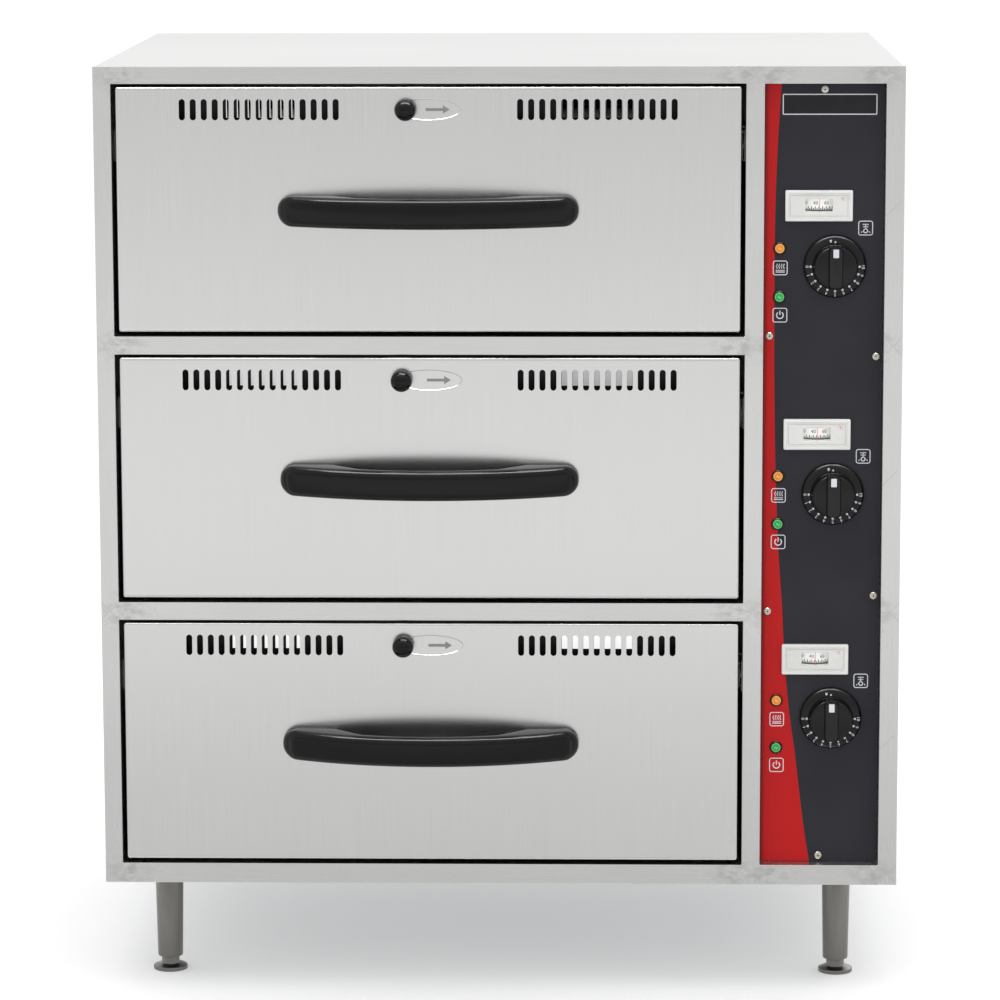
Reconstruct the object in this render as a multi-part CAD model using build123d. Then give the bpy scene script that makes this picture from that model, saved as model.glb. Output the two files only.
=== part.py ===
# Free-standing food warming cabinet: three heated drawers on roller slides, a control panel on the right.
# Millimetres. +Z is up and the front faces -Y. The origin is on the floor, in the middle of the footprint.
# Everything is drawn with the front face in the plane Y = 0 and moved back by one shift when written out.
import os
from math import cos, pi, radians, sin, sqrt, tan

from build123d import *

# Cabinet
drawer_count = 3
opening_w = 583.0
opening_h = 233.0
left_stile_w = 16.5
right_stile_w = 17.5
mullion_w = 17.0
rail_h = 17.0
top_rail_h = 16.0
bottom_rail_h = 19.0
control_w = 111.0
cabinet_d = 572.0
skin_t = 1.2
inner_t = 1.0
wrapper_bend_r = 2.2
wrapper_foot_w = 15.0
wrapper_bend_room = 1.2
frame_return_d = 15.0
frame_edge_d = 12.0
rear_gap_d = 36.0
rear_flange_d = 10.0
base_t = 1.5
base_flange_h = 12.0

# Control side
control_lip_w = 9.5
plate_t = 1.5
plate_gap = 0.5
partition_flange_w = 12.0
group_drop = 15.2
group_pitch = 212.7
thermometer_rise = 56.0
thermometer_x = -4.6
knob_x = 10.5
lamp_x = -40.4
amber_rise = 16.4
green_rise = -28.6

# Knobs and thermostats
skirt_r = 29.0
skirt_h = 3.0
skirt_slope_h = 2.5
cap_r = 20.0
cap_h = 13.0
grip_w = 12.0
grip_len = 37.0
grip_h = 5.0
spindle_r = 3.0
spindle_clearance = 0.1
spindle_hole_clearance = 1.5
spindle_into_body = 12.0
knob_gap = 0.5
thermostat_w = 46.0
thermostat_d = 32.0
skirt_sides = 32
cap_sides = 24
cap_bevel = 1.5

# Thermometers
bezel_w = 62.0
bezel_h = 28.5
bezel_d = 4.0
lens_w = 56.0
lens_h = 22.5
lens_t = 1.2
window_w = 25.0
window_h = 12.3
housing_w = 50.0
housing_h = 24.0
housing_wall = 2.0
drum_r = 18.0
drum_sides = 30
drum_h = 15.0
drum_pin_r = 1.5
drum_gap = 0.6

# Lamps and screws
round_sides = 12
lamp_flange_r = 6.0
lamp_body_r = 4.8
lamp_flange_t = 1.6
lamp_body_d = 14.0
lamp_lens_r = 4.2
lamp_lens_t = 1.4
screw_head_r = 3.7
screw_head_t = 2.0
screw_edge = 6.2
screw_side_rises = (499.0, 480.0, 255.0, 240.0)

# Drawers
drawer_side_gap = 4.0
drawer_top_gap = 2.5
drawer_bottom_gap = 4.0
drawer_t = 36.0
carriage_t = 1.5
carriage_rear_y = 468.0
side_web_x = 268.5
side_web_h = 34.0
pan_w = 530.0
pan_d = 325.0
pan_depth = 150.0
pan_rim_w = 12.5
pan_corner_r = 38.0
pan_t = 0.8
pan_taper = 4.0
corner_flats = 4
pan_front_y = 52.0
pan_clearance = 2.0
pan_rim_rise = 186.8

# Roller slides
roller_r = 13.0
roller_sides = 24
roller_w = 8.0
axle_r = 4.0
axle_clearance = 0.05
roller_rest_gap = 0.3
roller_side_gap = 0.4
channel_t = 1.5
channel_w = 12.5
channel_head_gap = 1.2
front_axle_y = 52.0
rear_axle_y = 450.0
channel_rear_y = 478.0
roller_pass_gap = 2.0

# Vents
vent_slots = 15
vent_pitch = 10.1
vent_w = 5.6
vent_h = 19.5
vent_shoulder_share = 0.7
vent_drop = 21.0
vent_group_x = 155.3
inner_vent_slots = 7
damper_t = 1.0
damper_h = 27.0
damper_gap = 0.3
damper_margin = 5.0
escutcheon_w = 61.0
escutcheon_h = 19.3
escutcheon_depth = 0.6
vent_knob_x = -25.5
vent_knob_r = 10.0
vent_knob_h = 18.0
vent_dome = 3.0
vent_stem_r = 3.0
vent_stem_gap = 0.5
vent_open_at_rest = (True, False, False)

# Handles
handle_w = 277.0
handle_h = 28.0
handle_reach = 52.0
handle_bar_t = 15.0
handle_end_d = 15.0
handle_grip_w = 181.0
handle_grip_slant = 26.0
handle_bevel = 8.0
handle_slope_share = 0.72
handle_flats = 10

# Heaters
heater_r = 4.0
heater_pitch = 90.0
heater_front_y = 120.0
heater_reach = 470.0
heater_rise = 12.0
heater_plate_t = 2.0
heater_plate_margin = 12.0
terminal_out = 16.0
window_margin = 7.0
bulb_r = 3.0
small_sides = 8
bulb_len = 70.0
bulb_rise = 29.0
capillary_w = 2.0

# Legs, inlet and back
leg_h = 102.0
leg_in_x = 53.0
leg_front_y = 70.0
leg_rear_inset = 60.0
leg_top_r = 13.5
leg_low_r = 12.0
leg_wall = 2.0
leg_plug_h = 18.0
foot_gap = 13.0
foot_r = 16.3
foot_flange_h = 5.0
foot_neck_r = 8.5
foot_seat_gap = 0.3
foot_stem_r = 6.0
foot_stem_h = 40.0
foot_stem_clearance = 0.05
foot_bevel = 1.5
leg_sides = 16
leg_plate_w = 70.0
leg_plate_t = 3.0
gland_reach = 18.0
gland_r = 11.0
gland_body_r = 8.0
gland_nut_t = 5.0
gland_cap_share = 0.6
gland_rise = 60.0
louvre_count = 8
louvre_pitch = 14.0
louvre_w = 70.0
louvre_h = 5.0
louvre_hood = 6.0
louvre_rise = 520.0
block_w = 60.0
block_d = 22.0
block_h = 30.0
block_rise = 110.0

# Places that follow from the sizes
cabinet_w = left_stile_w + opening_w + mullion_w + control_w + right_stile_w
body_h = top_rail_h + drawer_count * opening_h + (drawer_count - 1) * rail_h + bottom_rail_h
left_x = -cabinet_w / 2
right_x = cabinet_w / 2
body_low = leg_h
body_top = leg_h + body_h
opening_left = left_x + left_stile_w
opening_right = opening_left + opening_w
drawer_x = (opening_left + opening_right) / 2
control_left = opening_right + mullion_w
control_right = control_left + control_w
control_x = (control_left + control_right) / 2
control_low = body_low + bottom_rail_h
control_top = body_top - top_rail_h
liner_half_w = opening_w / 2 + skin_t
liner_rear_y = cabinet_d - rear_gap_d
back_inner_y = cabinet_d - skin_t
plate_back_y = frame_return_d + plate_t
partition_x = control_left - skin_t - inner_t
axle_rise = pan_rim_rise - carriage_t - roller_rest_gap - roller_r
front_w = opening_w - 2 * drawer_side_gap
front_h = opening_h - drawer_top_gap - drawer_bottom_gap
channel_low = -roller_r - roller_rest_gap
channel_high = roller_r + roller_rest_gap + carriage_t + channel_head_gap
track_inner_x = liner_half_w - channel_t
roller_out_x = track_inner_x - 3 * roller_side_gap
roller_in_x = roller_out_x - roller_w
channel_front_y = front_axle_y + roller_r + roller_pass_gap
damper_travel = vent_pitch / 2
rear_reach = gland_reach
heater_rear_y = heater_front_y + heater_pitch
shift_y = (handle_reach - cabinet_d - rear_reach) / 2


def opening_low(number):
    # Lowest edge of a drawer opening; drawer 1 is at the top
    return body_low + bottom_rail_h + (drawer_count - number) * (opening_h + rail_h)


def knob_rise(number):
    # The control groups stand closer together than the drawers do
    return opening_low(2) + opening_h / 2 - group_drop + (2 - number) * group_pitch


def rect(x0, x1, z0, z1):
    return Pos((x0 + x1) / 2, (z0 + z1) / 2) * Rectangle(x1 - x0, z1 - z0)


def standing(outline, y0, y1):
    # Runs an upright outline in X and Z from y0 back to y1
    return extrude(Plane.XZ.offset(-y1) * outline, amount=y1 - y0)


def block(x0, x1, y0, y1, z0, z1):
    return standing(rect(x0, x1, z0, z1), y0, y1)


def lying(outline, z0, z1):
    return extrude(Plane.XY.offset(z0) * outline, amount=z1 - z0)


def prism(radius, sides, z0, z1):
    return lying(RegularPolygon(radius, sides), z0, z1)


def bore(radius, z0, z1):
    # A hole of flats, each as far from the axis as the radius says
    return lying(RegularPolygon(radius, round_sides, major_radius=False), z0, z1)


def skinned(rings):
    # A solid of flat faces between rings of points, with a cap on each end
    faces = [Face(Wire.make_polygon(rings[0])), Face(Wire.make_polygon(rings[-1]))]
    for low, high in zip(rings, rings[1:]):
        for i in range(len(low)):
            j = (i + 1) % len(low)
            faces.append(Face(Wire.make_polygon([low[i], low[j], high[j], high[i]])))
    return Solid(Shell(faces))


def bevel(part, size):
    # Bevels the top edges
    return chamfer(part.edges().group_by(Axis.Z)[-1], size)


def soft_points(width, depth, corner_r, flats=corner_flats):
    # Corners of a rectangle whose round corners are drawn with a few flats each
    points = []
    for quarter, (side_x, side_y) in enumerate(((1, 1), (-1, 1), (-1, -1), (1, -1))):
        for i in range(flats + 1):
            angle = (quarter + i / flats) * pi / 2
            x = side_x * (width / 2 - corner_r) + corner_r * cos(angle)
            points.append((x, side_y * (depth / 2 - corner_r) + corner_r * sin(angle)))
    return points


def soft_rect(width, depth, corner_r, flats=corner_flats):
    return make_face(Polyline(*soft_points(width, depth, corner_r, flats), close=True))


def disc_x(radius, x0, x1, y, z):
    return Pos((x0 + x1) / 2, y, z) * Rot(0, 90, 0) * Cylinder(radius, abs(x1 - x0))


def lying_x(part, x, y, z):
    # Lays a part down so that its axis runs along X
    return Pos(x, y, z) * Rot(0, 90, 0) * part


def facing(part, x, y, z):
    # Stands a part turned about Z so that its top points out of the front
    return Pos(x, y, z) * Rot(90, 0, 0) * part


def vent_outline(width, height):
    # A slot whose round ends are drawn with two flats each
    shoulder = height / 2 - width / 2 * vent_shoulder_share
    points = [(width / 2, -shoulder), (width / 2, shoulder), (0, height / 2)]
    points += [(-width / 2, shoulder), (-width / 2, -shoulder), (0, -height / 2)]
    return make_face(Polyline(*points, close=True))


def vent_rows(count):
    # Centres of the slots, measured from the drawer's middle
    first = -(count - 1) / 2
    return [side * vent_group_x + (first + i) * vent_pitch for side in (-1, 1) for i in range(count)]


def write(name, *solids):
    moved = [Pos(0, shift_y, 0) * solid for solid in solids]
    shape = moved[0] if len(moved) == 1 else Compound(children=moved)
    export_step(shape, f"parts/{name}.step")


def outer_wrapper():
    # Top and both sides folded from one sheet, with feet turned in under the base
    half = cabinet_w / 2 - skin_t
    path = FilletPolyline(
        (-half + wrapper_foot_w, body_low + skin_t),
        (-half, body_low + skin_t),
        (-half, body_top - skin_t),
        (half, body_top - skin_t),
        (half, body_low + skin_t),
        (half - wrapper_foot_w, body_low + skin_t),
        radius=wrapper_bend_r - skin_t,
    )
    section = make_face(offset(path, amount=skin_t, side=Side.LEFT))
    return standing(section, skin_t, back_inner_y)


def base_pan():
    half = cabinet_w / 2 - skin_t - wrapper_bend_room
    low = body_low + skin_t
    outer = rect(-half, half, low, low + base_flange_h)
    inner = rect(-half + base_t, half - base_t, low + base_t, low + base_flange_h)
    return standing(outer - inner, frame_edge_d, back_inner_y - rear_flange_d)


def front_frame():
    # Face plate with a folded return round each opening and a lip behind the control panel
    face = rect(left_x, right_x, body_low, body_top)
    returns = []
    for number in range(1, drawer_count + 1):
        low = opening_low(number)
        hole = rect(opening_left, opening_right, low, low + opening_h)
        around = rect(opening_left - skin_t, opening_right + skin_t, low - skin_t, low + opening_h + skin_t)
        face -= hole
        returns.append(standing(around - hole, skin_t, frame_return_d))
    hole = rect(control_left, control_right, control_low, control_top)
    around = rect(control_left - skin_t, control_right + skin_t, control_low - skin_t, control_top + skin_t)
    lip_hole = rect(
        control_left + control_lip_w,
        control_right - control_lip_w,
        control_low + control_lip_w,
        control_top - control_lip_w,
    )
    face -= hole
    returns.append(standing(around - hole, skin_t, plate_back_y + skin_t))
    returns.append(standing(hole - lip_hole, plate_back_y, plate_back_y + skin_t))
    half = cabinet_w / 2 - skin_t - wrapper_bend_room
    low = body_low + skin_t + wrapper_bend_room
    high = body_top - skin_t - wrapper_bend_room
    edge = rect(-half, half, low, high) - rect(-half + skin_t, half - skin_t, low + skin_t, high - skin_t)
    returns.append(standing(edge, skin_t, frame_edge_d))
    return standing(face, 0, skin_t) + returns


def side_windows(x0, x1):
    # Cut-outs where each heater's terminals and its sensor pass through a wall
    cuts = []
    for number in range(1, drawer_count + 1):
        floor = opening_low(number) - skin_t
        cuts.append(
            block(
                x0,
                x1,
                heater_front_y - window_margin,
                heater_rear_y + window_margin,
                floor + heater_rise - window_margin,
                floor + bulb_rise + window_margin,
            )
        )
    return cuts


def inner_liner():
    low = opening_low(drawer_count) - skin_t
    high = opening_low(1) + opening_h + skin_t
    inside = rect(drawer_x - liner_half_w, drawer_x + liner_half_w, low, high)
    outside = rect(
        drawer_x - liner_half_w - inner_t, drawer_x + liner_half_w + inner_t, low - inner_t, high + inner_t
    )
    tube = standing(outside - inside, skin_t, liner_rear_y)
    back = standing(inside, liner_rear_y - inner_t, liner_rear_y)
    wall = drawer_x + liner_half_w
    return tube + back - side_windows(wall, wall + inner_t)


def dividers():
    # Folded shelves between the drawer spaces
    shelves = []
    half = liner_half_w
    for number in range(1, drawer_count):
        high = opening_low(number) - skin_t
        low = opening_low(number + 1) + opening_h + skin_t
        outer = rect(drawer_x - half, drawer_x + half, low, high)
        inner = rect(drawer_x - half + inner_t, drawer_x + half - inner_t, low, high - inner_t)
        shelves.append(standing(outer - inner, frame_return_d, liner_rear_y - inner_t))
    return shelves


def partition():
    low = body_low + skin_t + base_t
    high = body_top - skin_t
    path = Polyline(
        (partition_x + partition_flange_w, low),
        (partition_x, low),
        (partition_x, high),
        (partition_x + partition_flange_w, high),
    )
    section = make_face(offset(path, amount=inner_t, side=Side.RIGHT, kind=Kind.INTERSECTION))
    wall = standing(section, plate_back_y + skin_t, back_inner_y - rear_flange_d)
    return wall - side_windows(partition_x, partition_x + inner_t)


def insulation():
    # Slabs between the liner and the outer sheets
    low = opening_low(drawer_count) - skin_t - inner_t
    high = opening_low(1) + opening_h + skin_t + inner_t
    y0, y1 = frame_return_d, liner_rear_y
    liner_left = drawer_x - liner_half_w - inner_t
    liner_right = drawer_x + liner_half_w + inner_t
    base_top = body_low + skin_t + base_t + leg_plate_t
    edge = left_x + skin_t + wrapper_bend_room
    roof = body_top - skin_t - wrapper_bend_room
    side_left = block(edge, liner_left, y0, y1, low, high)
    side_right = block(liner_right, partition_x, y0 + plate_t, y1, low, high)
    side_right -= side_windows(liner_right, partition_x)
    over = block(edge, partition_x, y0, y1, high, roof)
    under = block(edge + base_t, partition_x, y0, y1, base_top, low)
    behind = block(edge + base_t, partition_x, y1, back_inner_y - rear_flange_d, base_top, high)
    return side_left, side_right, over, under, behind


def rear_panel():
    # Flat back with a flange folded forward all round, a ladder of louvres and the inlet hole
    panel = standing(rect(left_x, right_x, body_low, body_top), back_inner_y, cabinet_d)
    half = cabinet_w / 2 - skin_t - wrapper_bend_room
    low = body_low + skin_t + wrapper_bend_room
    high = body_top - skin_t - wrapper_bend_room
    outer = rect(-half, half, low, high)
    inner = rect(-half + inner_t, half - inner_t, low + inner_t, high - inner_t)
    panel += standing(outer - inner, back_inner_y - rear_flange_d, back_inner_y)
    for i in range(louvre_count):
        z = body_low + louvre_rise + i * louvre_pitch
        x0, x1 = control_x - louvre_w / 2, control_x + louvre_w / 2
        panel -= block(x0, x1, back_inner_y, cabinet_d, z, z + louvre_h)
        hood = Polyline(
            (cabinet_d, z + louvre_h + skin_t),
            (cabinet_d + louvre_hood, z),
            (cabinet_d + louvre_hood, z - skin_t),
            (cabinet_d, z + louvre_h),
            close=True,
        )
        panel += extrude(Plane.YZ.offset(x0) * make_face(hood), amount=louvre_w)
    hole = Pos(control_x, body_low + gland_rise) * RegularPolygon(gland_body_r, round_sides)
    return panel - standing(hole, back_inner_y, cabinet_d)


def cord_gland():
    # Inlet gland: barrel through the panel, a nut inside and a cap nut outside, open right through
    panel = gland_nut_t + skin_t
    end = panel + gland_reach
    barrel = prism(gland_body_r, round_sides, 0, end) + prism(gland_r, 6, 0, gland_nut_t)
    barrel += prism(gland_r, 6, panel, panel + gland_reach * gland_cap_share)
    gland = barrel - prism(gland_body_r / 2, round_sides, 0, end)
    return Pos(control_x, back_inner_y - gland_nut_t, body_low + gland_rise) * Rot(-90, 0, 0) * gland


def terminal_block():
    z = body_low + block_rise
    back = back_inner_y
    body = block(control_x - block_w / 2, control_x + block_w / 2, back - block_d, back, z, z + block_h)
    ways = 3
    pitch = block_w / (ways + 1)
    for i in range(ways):
        x = control_x + (i - (ways - 1) / 2) * pitch
        y0, y1 = back - block_d, back - block_d / 2
        body -= block(x - pitch / 4, x + pitch / 4, y0, y1, z + block_h / 4, z + block_h)
    return body


def control_plate():
    plate = rect(
        control_left + plate_gap, control_right - plate_gap, control_low + plate_gap, control_top - plate_gap
    )
    for number in range(1, drawer_count + 1):
        z = knob_rise(number)
        x = control_x + thermometer_x
        rise = z + thermometer_rise
        plate -= Pos(control_x + knob_x, z) * RegularPolygon(spindle_r + spindle_hole_clearance, round_sides)
        for lamp_rise in (amber_rise, green_rise):
            plate -= Pos(control_x + lamp_x, z + lamp_rise) * RegularPolygon(lamp_body_r, round_sides)
        plate -= rect(x - housing_w / 2, x + housing_w / 2, rise - housing_h / 2, rise + housing_h / 2)
    return standing(plate, frame_return_d, plate_back_y)


def panel_screws():
    # Pan heads seated on the control plate: one at the top, one at the bottom, two down each side
    side_x = control_w / 2 - screw_edge
    sides = (-side_x, side_x, side_x, -side_x)
    places = [(control_x, control_top - screw_edge), (control_x, control_low + screw_edge)]
    places += [(control_x + x, control_low + rise) for x, rise in zip(sides, screw_side_rises)]
    head = bevel(prism(screw_head_r, small_sides, 0, screw_head_t), screw_head_t / 3)
    return [facing(head, x, frame_return_d, z) for x, z in places]


def thermostats():
    bodies = []
    for number in range(1, drawer_count + 1):
        x, z = control_x + knob_x, knob_rise(number)
        half = thermostat_w / 2
        body = block(x - half, x + half, plate_back_y, plate_back_y + thermostat_d, z - half, z + half)
        depth = spindle_into_body + spindle_clearance
        bodies.append(body - facing(bore(spindle_r + spindle_clearance, -depth, depth), x, plate_back_y, z))
    return bodies


def thermostat_bulbs():
    # A capillary, drawn square, from each thermostat back and down to the bulb on the heater's plate
    sensors = []
    wall = drawer_x + liner_half_w - heater_plate_t
    sensor_y = (heater_front_y + heater_rear_y) / 2
    for number in range(1, drawer_count + 1):
        x = control_x + knob_x
        z = knob_rise(number)
        bulb_z = opening_low(number) - skin_t + bulb_rise
        corners = (
            (x, plate_back_y + thermostat_d, z),
            (x, sensor_y, z),
            (x, sensor_y, bulb_z),
            (wall + heater_plate_t, sensor_y, bulb_z),
        )
        route = Polyline(*corners)
        start = Plane(origin=corners[0], x_dir=(1, 0, 0), z_dir=(0, 1, 0))
        section = start * Rectangle(capillary_w, capillary_w)
        sensors.append(sweep(section, path=route, transition=Transition.RIGHT))
        sensors.append(lying_x(prism(bulb_r, small_sides, -bulb_len, 0), wall, sensor_y, bulb_z))
    return sensors


def heating_elements():
    # Sheathed hairpin elements under the pans, each welded through its mounting plate
    elements = []
    wall = drawer_x + liner_half_w
    end_x = partition_x + inner_t + terminal_out
    bend_x = wall - heater_reach
    for number in range(1, drawer_count + 1):
        floor = opening_low(number) - skin_t
        z = floor + heater_rise
        route = Polyline(
            (end_x, heater_front_y, z),
            (bend_x, heater_front_y, z),
            (bend_x, heater_rear_y, z),
            (end_x, heater_rear_y, z),
        )
        start = Plane(origin=(end_x, heater_front_y, z), z_dir=(-1, 0, 0))
        ring = start * RegularPolygon(heater_r, small_sides)
        rod = sweep(ring, path=route, transition=Transition.RIGHT)
        plate = block(
            wall - heater_plate_t,
            wall,
            heater_front_y - heater_plate_margin,
            heater_rear_y + heater_plate_margin,
            floor,
            floor + bulb_rise + heater_plate_margin,
        )
        elements.append(rod + plate)
    return elements


def thermometer_places():
    numbers = range(1, drawer_count + 1)
    return [(control_x + thermometer_x, knob_rise(number) + thermometer_rise) for number in numbers]


def thermometer_cases():
    cases = []
    for x, z in thermometer_places():
        front = frame_return_d - bezel_d
        back = frame_return_d + 2 * (drum_r + drum_gap) + housing_wall
        half_w, half_h = housing_w / 2, housing_h / 2
        bezel = rect(x - bezel_w / 2, x + bezel_w / 2, z - bezel_h / 2, z + bezel_h / 2)
        case = standing(bezel, front, frame_return_d)
        case += block(x - half_w, x + half_w, frame_return_d, back, z - half_h, z + half_h)
        case -= thermometer_lens(x, z)
        window = rect(x - window_w / 2, x + window_w / 2, z - window_h / 2, z + window_h / 2)
        case -= standing(window, front, frame_return_d)
        room_w, room_h = half_w - housing_wall, half_h - housing_wall
        case -= block(x - room_w, x + room_w, frame_return_d, back - housing_wall, z - room_h, z + room_h)
        cases.append(case)
    return cases


def thermometer_lens(x, z):
    front = frame_return_d - bezel_d
    outline = rect(x - lens_w / 2, x + lens_w / 2, z - lens_h / 2, z + lens_h / 2)
    return standing(outline, front, front + lens_t)


def thermometer_drum():
    # Scale drum on a pin that stands between the housing's floor and roof
    room = housing_h - 2 * housing_wall
    pin_h = room - 2 * roller_rest_gap
    drum = prism(drum_r, drum_sides, -drum_h / 2, drum_h / 2)
    return drum + prism(drum_pin_r, small_sides, -pin_h / 2, pin_h / 2)


def lamp_bezel():
    flange = bevel(prism(lamp_flange_r, round_sides, 0, lamp_flange_t), lamp_flange_t / 3)
    return flange + prism(lamp_body_r, round_sides, -lamp_body_d, 0)


def lamp_lens():
    return prism(lamp_lens_r, round_sides, lamp_flange_t, lamp_flange_t + lamp_lens_t)


def lamp_places(rise):
    return [(control_x + lamp_x, knob_rise(number) + rise) for number in range(1, drawer_count + 1)]


def knob():
    # Skirt with the scale, a cap and the raised grip across it, on its spindle
    shoulder = skirt_h + skirt_slope_h
    top = shoulder + cap_h
    body = bevel(prism(skirt_r, skirt_sides, 0, shoulder), skirt_slope_h)
    body += bevel(prism(cap_r, cap_sides, shoulder, top), cap_bevel)
    body += lying(soft_rect(grip_w, grip_len, grip_w / 3, 1), top, top + grip_h)
    reach = knob_gap + plate_t + spindle_into_body
    return body + Pos(0, 0, -reach / 2) * Cylinder(spindle_r, reach)


def leg():
    # Tapered tube with a plug at the bottom that the foot's screw turns in
    low = foot_gap
    high = body_low + skin_t
    angles = [2 * pi * i / leg_sides for i in range(leg_sides)]
    rings = [[(r * cos(a), r * sin(a), z) for a in angles] for r, z in ((leg_low_r, low), (leg_top_r, high))]
    tube = skinned(rings) - prism(leg_low_r - leg_wall, round_sides, low + leg_plug_h, high)
    return tube - lying(Circle(foot_stem_r + foot_stem_clearance), low, low + leg_plug_h)


def foot():
    # Levelling foot: flat disc, neck and the screw that turns in the leg
    neck_top = foot_gap - foot_seat_gap
    disc = bevel(prism(foot_r, leg_sides, 0, foot_flange_h), foot_bevel)
    screw = prism(foot_stem_r, round_sides, neck_top, foot_gap + foot_stem_h)
    return disc + prism(foot_neck_r, leg_sides, foot_flange_h, neck_top) + screw


def leg_places():
    x = cabinet_w / 2 - leg_in_x
    rear = cabinet_d - leg_rear_inset
    return {"fl": (-x, leg_front_y), "fr": (x, leg_front_y), "rl": (-x, rear), "rr": (x, rear)}


def leg_plates():
    # Square plates over the base pan that the legs bolt to
    half = leg_plate_w / 2
    low = body_low + skin_t + base_t
    limit = cabinet_w / 2 - skin_t - base_t
    plates = []
    for x, y in leg_places().values():
        x0, x1 = max(x - half, -limit), min(x + half, limit)
        plates.append(block(x0, x1, y - half, y + half, low, low + leg_plate_t))
    return plates


def drawer_tracks():
    # A channel on each liner wall, open towards the drawer, with the front roller's axle on its web
    tracks = []
    for number in range(1, drawer_count + 1):
        z = opening_low(number) + axle_rise
        for side in (-1, 1):
            web = drawer_x + side * liner_half_w
            inner = drawer_x + side * track_inner_x
            lip = drawer_x + side * (track_inner_x - channel_w)
            low, high = z + channel_low, z + channel_high
            x0, x1 = min(web, inner), max(web, inner)
            track = block(x0, x1, front_axle_y - roller_r, channel_rear_y, low, high)
            for flange_low, flange_high in ((low - channel_t, low), (high, high + channel_t)):
                x0, x1 = min(web, lip), max(web, lip)
                track += block(x0, x1, channel_front_y, channel_rear_y, flange_low, flange_high)
            axle_end = drawer_x + side * (roller_in_x - roller_side_gap)
            track += disc_x(axle_r, inner, axle_end, front_axle_y, z)
            tracks.append(track)
    return tracks


def rollers(number, y):
    z = opening_low(number) + axle_rise
    pair = []
    for side in (-1, 1):
        middle = drawer_x + side * (roller_in_x + roller_out_x) / 2
        wheel = prism(roller_r, roller_sides, -roller_w / 2, roller_w / 2)
        wheel -= bore(axle_r + axle_clearance, -roller_w / 2, roller_w / 2)
        pair.append(lying_x(wheel, middle, y, z))
    return pair


def drawer_front(number):
    # Outer shell of the front: slotted face with folded edges, a pressed escutcheon and the vent knob's slot
    low = opening_low(number) + drawer_bottom_gap
    high = low + front_h
    x0, x1 = drawer_x - front_w / 2, drawer_x + front_w / 2
    shell = standing(rect(x0, x1, low, high), 0, drawer_t)
    shell -= standing(rect(x0 + skin_t, x1 - skin_t, low + skin_t, high - skin_t), skin_t, drawer_t)
    z = high - vent_drop
    slots = [Pos(drawer_x + x, z) * vent_outline(vent_w, vent_h) for x in vent_rows(vent_slots)]
    shell -= standing(Sketch() + slots, 0, skin_t)
    pressing = Pos(drawer_x, z) * Ellipse(escutcheon_w / 2, escutcheon_h / 2)
    shell -= standing(pressing, 0, escutcheon_depth)
    return shell - standing(stem_slot(z), 0, skin_t)


def stem_slot(z):
    width = 2 * (vent_stem_r + vent_stem_gap)
    middle = drawer_x + vent_knob_x + damper_travel / 2
    return Pos(middle, z) * Rectangle(damper_travel + width, width)


def drawer_carriage(number):
    # The front's inner plate, and the sheet frame that carries the pan and rides on the rollers
    low = opening_low(number) + drawer_bottom_gap
    high = low + front_h
    half = front_w / 2 - skin_t
    inner_plate = rect(drawer_x - half, drawer_x + half, low + skin_t, high - skin_t)
    z = high - vent_drop
    for x in vent_rows(inner_vent_slots):
        inner_plate -= Pos(drawer_x + x, z) * Rectangle(vent_w, vent_h)
    inner_plate -= stem_slot(z)
    plate = standing(inner_plate, drawer_t - inner_t, drawer_t)

    top = opening_low(number) + pan_rim_rise
    edge = roller_out_x
    hole_w = pan_w - 2 * pan_rim_w + pan_clearance
    hole_d = pan_d - 2 * pan_rim_w + pan_clearance
    pan_y = pan_front_y + pan_d / 2
    deck = Pos(drawer_x, (drawer_t + carriage_rear_y) / 2) * Rectangle(2 * edge, carriage_rear_y - drawer_t)
    deck -= Pos(drawer_x, pan_y) * soft_rect(hole_w, hole_d, pan_corner_r)
    frame = lying(deck, top - carriage_t, top)
    for side in (-1, 1):
        web = drawer_x + side * side_web_x
        face = web + side * carriage_t
        x0, x1 = min(web, face), max(web, face)
        frame += block(x0, x1, drawer_t, carriage_rear_y, top - side_web_h, top)
        rise = opening_low(number) + axle_rise
        frame += disc_x(axle_r, face, drawer_x + side * (roller_out_x + roller_side_gap), rear_axle_y, rise)
    span = side_web_x
    for y0 in (drawer_t, carriage_rear_y - carriage_t):
        frame += block(drawer_x - span, drawer_x + span, y0, y0 + carriage_t, top - side_web_h / 2, top)
    return plate + frame


def food_pan(number):
    # Full-size gastronorm pan, open upwards, hung by its rim
    top = opening_low(number) + pan_rim_rise
    y = pan_front_y + pan_d / 2
    mouth_w, mouth_d = pan_w - 2 * pan_rim_w, pan_d - 2 * pan_rim_w
    slope = tan(radians(pan_taper))

    def hollow(wall, depth):
        rings = []
        for drop in (0, depth):
            inset = 2 * (wall + drop * slope)
            outline = soft_points(mouth_w - inset, mouth_d - inset, pan_corner_r - wall)
            rings.append([(px, py, -drop) for px, py in outline])
        return skinned(rings)

    mouth = soft_rect(mouth_w - 2 * pan_t, mouth_d - 2 * pan_t, pan_corner_r - pan_t)
    rim = lying(soft_rect(pan_w, pan_d, pan_corner_r + pan_rim_w) - mouth, 0, pan_t)
    return Pos(drawer_x, y, top) * (hollow(0, pan_depth) - hollow(pan_t, pan_depth - pan_t) + rim)


def bow_depth(x, half, end_depth, middle_depth):
    # Depth at x on the arc through both ends and the middle
    sag = middle_depth - end_depth
    radius = (half * half + sag * sag) / (2 * sag)
    return middle_depth - radius + sqrt(radius * radius - x * x)


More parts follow.
